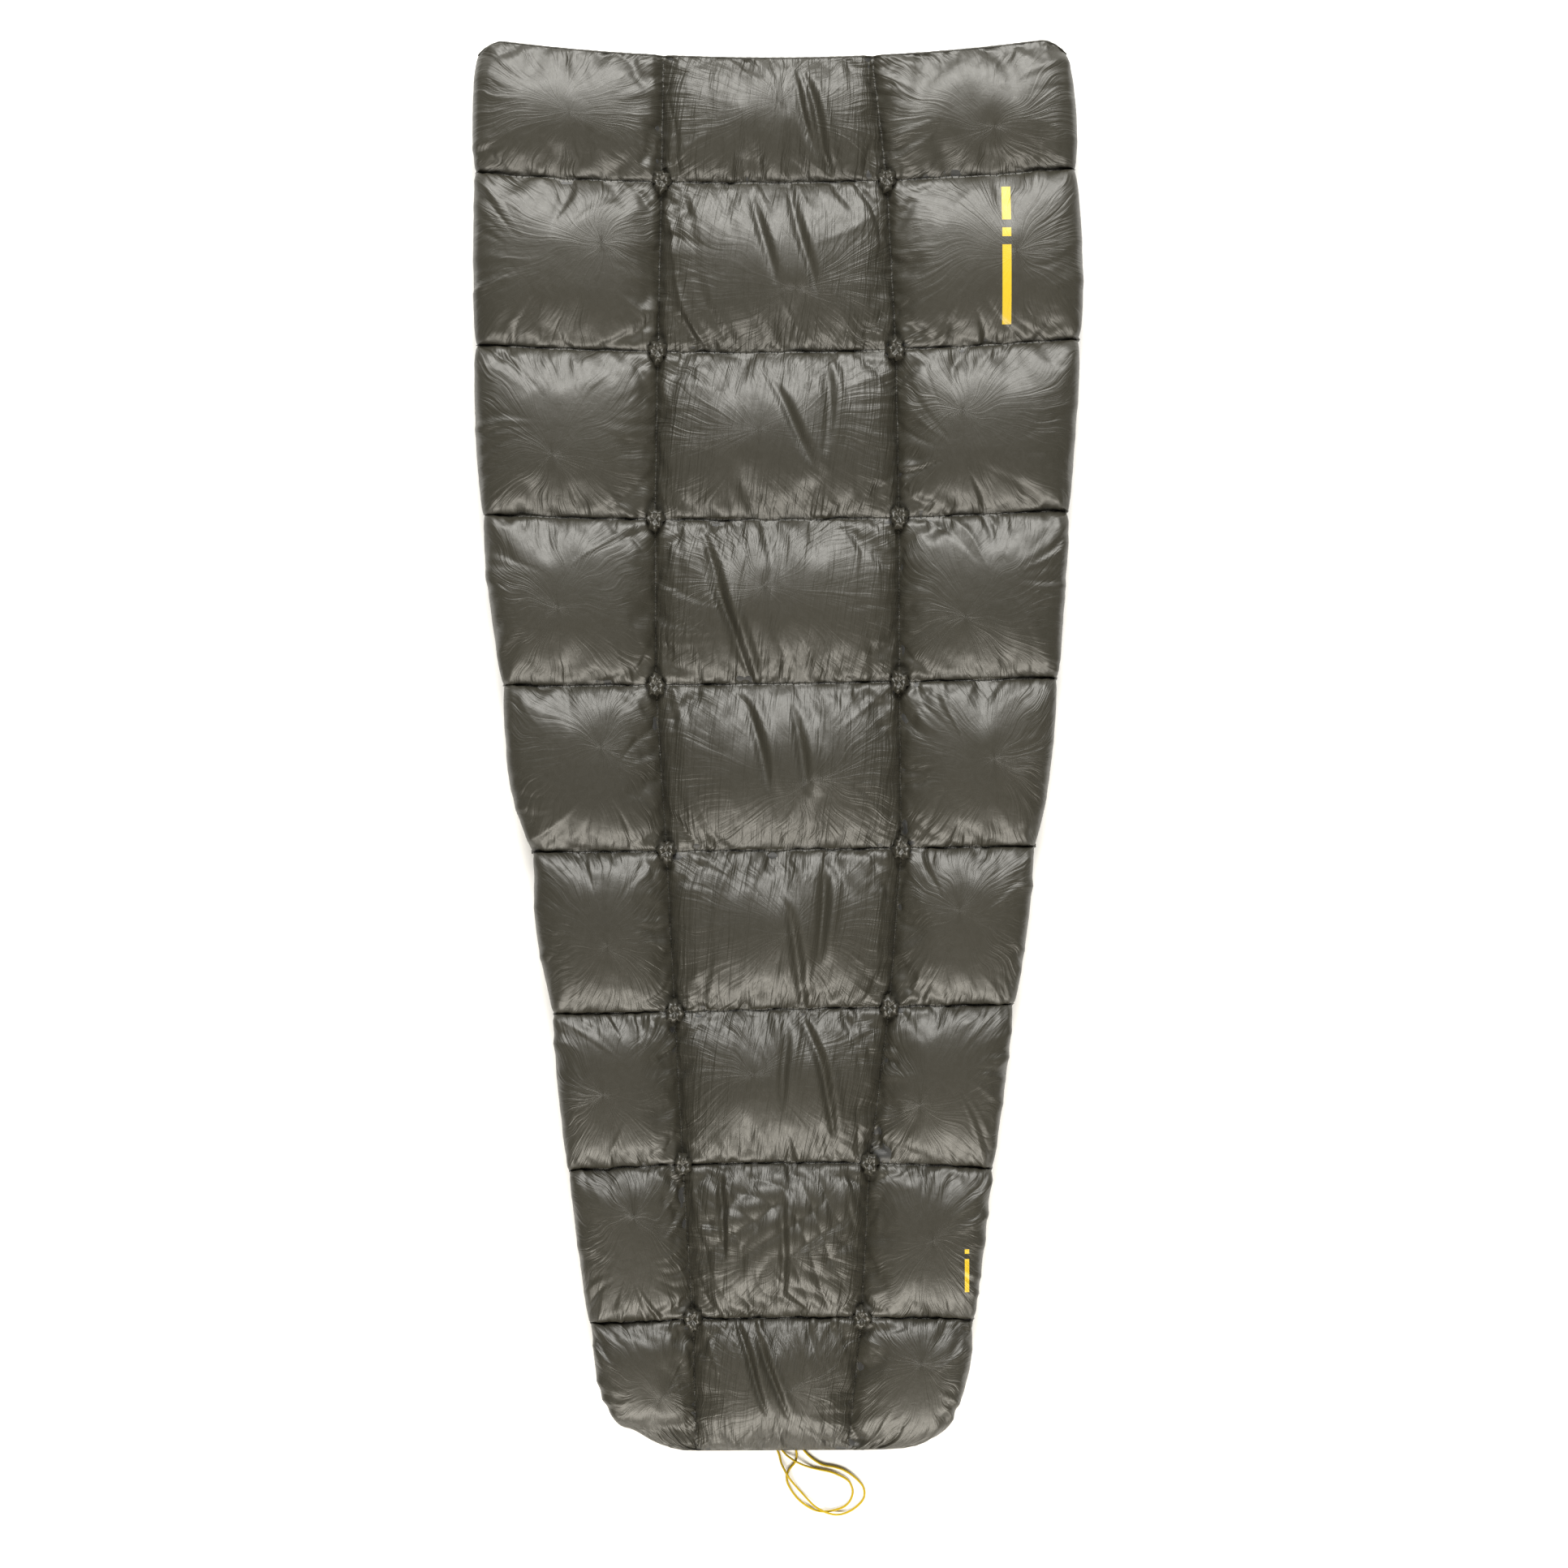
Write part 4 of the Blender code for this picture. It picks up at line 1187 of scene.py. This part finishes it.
    def cut_top(self) -> None:
        """The three runs of the top panel and its liner, all on the quilt's own body."""
        printed_head = ShellFabric(name="printed_shell_head", bars=HEAD_BARS)
        printed_foot = ShellFabric(name="printed_shell_foot", bars=FOOT_BARS)
        for name, first, last, finish in (
            ("top_skin_head", 0, 3, printed_head),
            ("top_skin_middle", 3, 6, SHELL),
            ("top_skin_foot", 6, 9, printed_foot),
        ):
            piece = self.cut(name, (first, last), (0, 3), finish)
            columns = ("left", "centre", "right")
            fill = [f"down_top_{row}_{column}" for row in range(first + 1, last + 1) for column in columns]
            on_body(piece, "quilt", "shell_fabric", *fill, *(["shell_top"] if first == 0 else []))
        inner = self.liner("top_liner", (0, 9), (0, 3))
        on_body(inner, "quilt", "liner_fabric", "liner_top")
        LOG.info("top panel: %d points", self.surface.shape[0] * self.surface.shape[1])

    def cut_sides(self) -> None:
        """The folded sides, the row above the zip and the underside of the foot."""
        for side in Side:
            across = (-1, 0) if side is Side.LEFT else (3, 4)
            word = side.word
            for row in range(1, 6):
                flap = self.cut(f"flap_skin_{row}_{word}", (row - 1, row), across, SHELL)
                inner = self.liner(f"flap_inner_{row}_{word}", (row - 1, row), across)
                start, end = self.flap_blend(side, row)
                for piece, slot_name in ((flap, "shell_fabric"), (inner, "liner_fabric")):
                    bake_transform(piece)
                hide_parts(f"down_flap_{row}_{word}", *([f"flap_shell_{word}"] if row == 1 else []))
                if row == 1:
                    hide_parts(f"flap_liner_{word}")
            for name, rows in (("gusset", (5, 6)), ("foot", (6, 9))):
                skin = self.cut(f"{name}_skin_{word}", rows, across, SHELL)
                inner = self.liner(f"{name}_inner_{word}", rows, across)
                for piece, slot_name in ((skin, "shell_fabric"), (inner, "liner_fabric")):
                    on_body(piece, "quilt", slot_name)
                if name == "gusset":
                    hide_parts(f"down_foot_6_{word}")
                else:
                    extra = ["shell_foot", "down_foot_9"] if side is Side.LEFT else []
                    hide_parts(f"down_foot_7_{word}", f"down_foot_8_{word}", *extra)
                    if side is Side.LEFT:
                        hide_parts("liner_foot")
        LOG.info("sides and foot underside")

    def flap_blend(self, side: Side, row: int) -> tuple[tuple, tuple]:
        """Two points across the fold of one row of a folded side, where it turns under.

        Args:
            side: the side of the quilt.
            row: the row, from 1 at the head.

        Returns:
            Points just outside and inside the fold, on a line square to it.
        """
        at = self.net.net[row - 1 : row + 1, 1]
        edge = np.array(self.net.edge(at)[0 if side is Side.LEFT else 1])
        along = Vector((edge[0] - edge[1], at[0] - at[1], 0.0)).normalized()
        inward = Vector((-side.value * along.y, side.value * along.x, 0.0))
        place = Vector((edge.mean(), at.mean(), self.net.fold_level))
        return tuple(place - inward * 0.003), tuple(place + inward * 0.026)


# ---------------------------------------------------------------- stitches, knots and hems


@dataclass
class Sewing:
    """Lock stitches along the seams, the gathered knots where seams cross, and the hems."""

    skins: Skins
    pitch: float = 0.0085
    long: float = 0.0046
    thread: float = 0.00038
    hem: float = 0.0012
    hem_step: float = 0.003
    knot_radius: float = 0.0130
    knot_high: float = 0.0190
    rim_rise: float = 0.0085
    rim_start: float = 0.0065

    def stitch_line(self, path: Grid, slant: float) -> tuple[Grid, Grid]:
        """Short thread loops across a seam.

        Args:
            path: the seam's points.
            slant: how far each stitch leans along the seam.

        Returns:
            Points and quads of all its stitches.
        """
        spots = even_path(path, self.pitch)
        along = np.gradient(spots, axis=0)
        along /= np.linalg.norm(along, axis=1, keepdims=True)
        cross = np.cross(along, (0.0, 0.0, 1.0))
        parts = []
        for k in range(1, len(spots) - 1):
            lean = 1.0 if k % 2 else -1.0
            share = np.linspace(-1, 1, 7)[:, None]
            arc = spots[k] + share * (cross[k] * self.long / 2 + along[k] * slant * lean)
            arc[:, 2] += 0.0012 * (1 - share[:, 0] ** 2) + 0.0004
            parts.append(tube_mesh(arc, np.full(7, self.thread), 5))
        return joined(parts)

    def seam_path(self, across: float | None, along: float | None, limits: tuple[float, float]) -> Grid:
        """Points of one seam on the top panel.

        Args:
            across: the column line, for a seam that runs along the quilt.
            along: the row line, for a seam that runs across it.
            limits: first and last station of the other axis.

        Returns:
            The seam's points.
        """
        skins = self.skins
        if across is not None:
            j = int(np.argmin(np.abs(skins.a[0] - across)))
            i = skins.span(skins.b[:, 0], limits)
            return skins.base[i[0] : i[1] + 1, j]
        i = int(np.argmin(np.abs(skins.b[:, 0] - along)))
        j = skins.span(skins.a[0], limits)
        return skins.base[i, j[0] : j[1] + 1]

    def build(self) -> None:
        """Makes every stitch, knot and hem."""
        lines = [self.stitch_line(self.seam_path(c, None, (0, 9)), 0.0016) for c in (1, 2)]
        lines += [self.stitch_line(self.seam_path(None, r, (0, 3)), 0.0010) for r in range(1, 9)]
        on_body(mesh_piece("seam_stitches", *joined(lines), THREAD), "quilt", "shell_fabric")
        self.knots()
        self.hems()
        LOG.info("stitches, knots and hems")

    def knots(self) -> None:
        """Small crumpled bunches of shell fabric where a row seam meets a column seam."""
        rng = np.random.default_rng(23)
        high, wide = 17, 40
        rings, turns = np.linspace(0.0, 1.0, high), np.linspace(0, 2 * math.pi, wide, endpoint=False)
        v, u = np.meshgrid(rings, turns, indexing="ij")
        parts = []
        for column in (1, 2):
            for row in range(1, 9):
                centre = self.seam_path(column, None, (row, row))[0]
                spin = rng.uniform(0, 2 * math.pi, 4)
                radius = self.knot_radius * np.sin(v * math.pi * 0.5) ** 0.8
                folds = 1 + 0.11 * np.sin(3 * u + spin[0] + 3 * v) + 0.09 * np.sin(8 * u + spin[1] - 2 * v)
                folds = folds + 0.05 * np.sin(14 * u + spin[2])
                x = centre[0] + radius * folds * np.cos(u) * 0.95
                y = centre[1] + radius * folds * np.sin(u) * 1.15
                crown = self.knot_high * np.cos(v * math.pi * 0.5) ** 0.9
                crown = crown + 0.0013 * np.sin(5 * u + spin[3] + 4 * v) * np.sin(v * math.pi)
                z = centre[2] + self.rim_rise * (1 - np.exp(-((radius / self.rim_start) ** 2))) + crown
                parts.append((np.stack([x, y, z], -1).reshape(-1, 3), ring_faces(high, wide, flip=True)))
        on_body(mesh_piece("seam_knots", *joined(parts), SHELL), "quilt", "shell_fabric")

    def hem_tube(self, name: str, path: Grid) -> bpy.types.Object:
        """A rolled hem along an edge, drawn up a little by its stitches."""
        spots = even_path(path, self.hem_step)
        run = np.arange(len(spots)) * self.hem_step
        short, long = np.sin(run * 2 * math.pi / 0.011), np.sin(run * 2 * math.pi / 0.037)
        radius = self.hem * (1 + 0.16 * short + 0.08 * long)
        return mesh_piece(name, *tube_mesh(spots, radius, 10), SHELL)

    def hems(self) -> None:
        """Hems of the head edge, the two back edges and the mouth of the foot."""
        skins = self.skins
        head = self.hem_tube("hem_head", skins.coarse[0, slice(*self.between(0, 3))])
        on_body(head, "quilt", "shell_fabric")
        last_row = skins.span(skins.b[:, 0], (5, 6))
        for side in Side:
            word, body = side.word, f"{side.word}_flap"
            column = 0 if side is Side.LEFT else -1
            limits = slice(*(self.between(-1, 0) if side is Side.LEFT else self.between(3, 4)))
            slit = skins.coarse[last_row[0], limits]
            apart = np.array((0.0, self.hem + 0.0002, 0.0))
            for name, path, row in (("head", skins.coarse[0, limits], 1), ("slit", slit + apart, 5)):
                piece = self.hem_tube(f"hem_flap_{name}_{word}", path)
                start, end = skins.flap_blend(side, row)
                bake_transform(piece)
            back = self.hem_tube(f"hem_flap_back_{word}", skins.coarse[: last_row[0] + 1, column])
            on_body(back, body, "shell_fabric")
            for name, path in (("back", skins.coarse[last_row[0] :, column]), ("slit", slit - apart)):
                on_body(self.hem_tube(f"hem_foot_{name}_{word}", path), "quilt", "shell_fabric")

    def between(self, first: float, last: float) -> tuple[int, int]:
        """Slice limits of the coarse grid between two column lines."""
        i, j = self.skins.span(self.skins.a[0], (first, last))
        return i, j + 1


# ---------------------------------------------------------------- zip, lock and cord


@dataclass
class FootZip:
    """The zip under the foot box: woven tapes, nylon coils, slider and pull."""

    pitch: float = 0.0014
    coil_radius: tuple[float, float] = (0.00105, 0.00115)
    wire: float = 0.00034

    def build(self) -> None:
        """Makes the tapes and coils, and dresses the slider and its pull."""
        for side in Side:
            node = f"zip_tape_{side.word}"
            low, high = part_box(node)
            self.tape(side, node, Vector(low), Vector(high))
        for node in ("zip_slider", "zip_pull"):
            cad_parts[node].data.materials[0] = finish_of(PlatedSteel())
        LOG.info("zip")

    def tape(self, side: Side, node: str, low: Vector, high: Vector) -> None:
        """One tape with its coil.

        Args:
            side: which side of the zip.
            node: the CAD node it stands for.
            low: lowest corner of that node.
            high: highest corner of that node.
        """
        middle = (low.z + high.z) / 2
        inner = 0.0008 * side.value
        outer = (high.x if side is Side.RIGHT else low.x) + 0.0012 * side.value
        y = np.arange(low.y, high.y, 0.004)
        x = np.linspace(inner, outer, 6)
        grid_y, grid_x = np.meshgrid(y, x, indexing="ij")
        wave = middle + 0.00022 + 0.00010 * np.sin(grid_y * 260.0) * np.abs(grid_x / outer)
        upper = np.stack([grid_x, grid_y, wave], -1)
        lower = upper - np.array((0.0, 0.0, 0.0005))
        turned = side is Side.LEFT
        layers = ((upper, not turned), (lower, turned))
        parts = [(layer.reshape(-1, 3), grid_faces(*upper.shape[:2], flip=flip)) for layer, flip in layers]
        tape = mesh_piece(f"tape_{side.word}", *joined(parts), WovenTape())
        on_body(tape, "quilt", "zip_tape", node)
        turns = int((high.y - low.y) / self.pitch)
        steps = 10
        angle = np.arange(turns * steps + 1) * 2 * math.pi / steps
        centre_x = side.value * 0.00176
        path = np.stack(
            [
                centre_x + self.coil_radius[0] * np.cos(angle),
                low.y + angle / (2 * math.pi) * self.pitch,
                middle + self.coil_radius[1] * np.sin(angle) * side.value,
            ],
            1,
        )
        coil = mesh_piece(f"coil_{side.word}", *tube_mesh(path, np.full(len(path), self.wire), 5), Moulding())
        on_body(coil, "quilt", "zip_tape")


@dataclass
class CordLock:
    """The barrel lock in the mouth of the foot."""

    def build(self) -> None:
        """Dresses the body, button and spring."""
        for node, finish in (
            ("cord_lock_body", Moulding()),
            ("cord_lock_button", Moulding()),
            ("cord_lock_spring", PlatedSteel()),
        ):
            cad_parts[node].data.materials[0] = finish_of(finish)
        LOG.info("cord lock")


@dataclass
class Drawcord:
    """Braided elastic cord: out of the lock, two loops past the foot edge, and back to the lock."""

    diameter: float = 0.0030
    twist: float = 0.0062
    step: float = 0.0006
    sides: int = 16
    route: tuple[tuple[float, float, float], ...] = (
        (0.0019, -0.8906, 0.0078), (0.0012, -0.9020, 0.0068), (-0.0030, -0.9200, 0.0038),
        (-0.0078, -0.9360, 0.0020), (-0.0096, -0.9494, 0.0018), (-0.0062, -0.9603, 0.0020),
        (-0.0033, -0.9713, 0.0038), (0.0033, -0.9844, 0.0058), (0.0105, -0.9954, 0.0040),
        (0.0230, -1.0100, 0.0019), (0.0372, -1.0250, 0.0040), (0.0482, -1.0330, 0.0056),
        (0.0591, -1.0378, 0.0056), (0.0701, -1.0403, 0.0042), (0.0820, -1.0385, 0.0020),
        (0.0950, -1.0318, 0.0017), (0.1058, -1.0210, 0.0017), (0.1084, -1.0110, 0.0017),
        (0.1051, -1.0005, 0.0017), (0.0935, -0.9888, 0.0017), (0.0812, -0.9808, 0.0017),
        (0.0679, -0.9762, 0.0017), (0.0515, -0.9728, 0.0017), (0.0361, -0.9630, 0.0017),
        (0.0250, -0.9505, 0.0017), (0.0215, -0.9380, 0.0017), (0.0120, -0.9290, 0.0017),
        (0.0015, -0.9310, 0.0017), (-0.0035, -0.9400, 0.0017), (-0.0040, -0.9494, 0.0018),
        (0.0022, -0.9585, 0.0028), (0.0110, -0.9650, 0.0052), (0.0180, -0.9690, 0.0058),
        (0.0274, -0.9735, 0.0040), (0.0383, -0.9773, 0.0019), (0.0504, -0.9800, 0.0017),
        (0.0635, -0.9830, 0.0017), (0.0767, -0.9885, 0.0017), (0.0868, -0.9950, 0.0017),
        (0.0912, -1.0030, 0.0017), (0.0925, -1.0110, 0.0017), (0.0895, -1.0205, 0.0017),
        (0.0832, -1.0280, 0.0017), (0.0740, -1.0325, 0.0017), (0.0635, -1.0352, 0.0017),
        (0.0520, -1.0362, 0.0017), (0.0400, -1.0335, 0.0017), (0.0274, -1.0265, 0.0017),
        (0.0164, -1.0165, 0.0017), (0.0077, -1.0041, 0.0017), (0.0037, -0.9940, 0.0017),
        (0.0044, -0.9844, 0.0017), (0.0088, -0.9768, 0.0017), (0.0148, -0.9695, 0.0017),
        (0.0170, -0.9610, 0.0018), (0.0160, -0.9505, 0.0036), (0.0140, -0.9390, 0.0058),
        (0.0115, -0.9260, 0.0062), (0.0085, -0.9120, 0.0068), (0.0064, -0.9000, 0.0076),
        (0.0061, -0.8906, 0.0078),
    )

    def smooth(self) -> Grid:
        """The route as a smooth curve with a point every 0.6 mm."""
        return even_path(smooth_curve(np.array(self.route), 24), self.step)

    def build(self) -> None:
        path = self.smooth()
        run = np.arange(len(path))[:, None] * self.step * 2 * math.pi / self.twist
        round_ = np.arange(self.sides)[None, :] * 2 * math.pi / self.sides
        braid = np.sin(4 * round_ + 4 * run) * np.sin(4 * round_ - 4 * run)
        radius = self.diameter / 2 * (0.95 + 0.05 * braid)
        cord = mesh_piece("elastic_cord", *tube_mesh(path, radius, self.sides), BRAID)
        on_body(cord, "quilt", "elastic_cord", "foot_drawcord")
        LOG.info("drawcord")


# ---------------------------------------------------------------- studio


@dataclass
class Studio:
    """Pale floor, two long soft lights at the head and foot, and the camera straight above."""

    lens: float = 102.0
    above: float = 6.0
    aim: tuple[float, float] = (0.0047, -0.0537)
    floor_half: float = 9.0
    floor_level: float = -0.0006

    def light(self, name: str, place: tuple, size: tuple[float, float], power: float, colour: tuple) -> None:
        """One soft rectangular light, turned to the middle of the quilt.

        Args:
            name: the light's name.
            place: its position.
            size: its width and height.
            power: watts.
            colour: its tint.
        """
        lamp = bpy.data.lights.new(name, "AREA")
        lamp.shape = "RECTANGLE"
        lamp.size, lamp.size_y = size
        lamp.energy = power
        lamp.color = colour
        made = bpy.data.objects.new(name, lamp)
        made.location = place
        made.rotation_euler = (Vector((0.0, 0.0, 0.0)) - Vector(place)).to_track_quat("-Z", "Y").to_euler()
        bpy.context.scene.collection.objects.link(made)

    def build(self) -> None:
        """Sets up the floor, the lights and the camera."""
        half, level = self.floor_half, self.floor_level
        corners = ((-1, -1), (1, -1), (1, 1), (-1, 1))
        points = np.array([(half * x, half * y, level) for x, y in corners])
        mesh_piece("floor", points, np.array([[0, 1, 2, 3]]), PaleFloor())
        world = bpy.data.worlds.new("studio")
        world.use_nodes = True
        background = world.node_tree.nodes["Background"].inputs
        background["Color"].default_value = (1.0, 1.0, 1.0, 1.0)
        background["Strength"].default_value = 0.08
        bpy.context.scene.world = world
        self.light("head_light", (0.0, 3.5, 3.0), (4.4, 2.0), 450.0, (1.0, 0.985, 0.94))
        self.light("foot_light", (0.0, -3.6, 2.4), (4.4, 1.6), 320.0, (1.0, 0.95, 0.85))
        camera = bpy.data.objects.new("camera", bpy.data.cameras.new("camera"))
        camera.data.sensor_width = 36.0
        camera.data.lens = self.lens
        camera.location = (*self.aim, self.above)
        camera.rotation_euler = (0.0, 0.0, math.radians(-0.3))
        bpy.context.scene.collection.objects.link(camera)
        bpy.context.scene.camera = camera
        bpy.context.scene.view_settings.view_transform = "Standard"
        LOG.info("studio")


def main() -> None:
    """Builds the studio and every piece."""
    logging.basicConfig(level=logging.INFO, format="%(name)s: %(message)s")
    Studio().build()
    Drawcord().build()
    skins = Skins()
    skins.build()
    Sewing(skins).build()
    FootZip().build()
    CordLock().build()


if __name__ == "__main__":
    main()
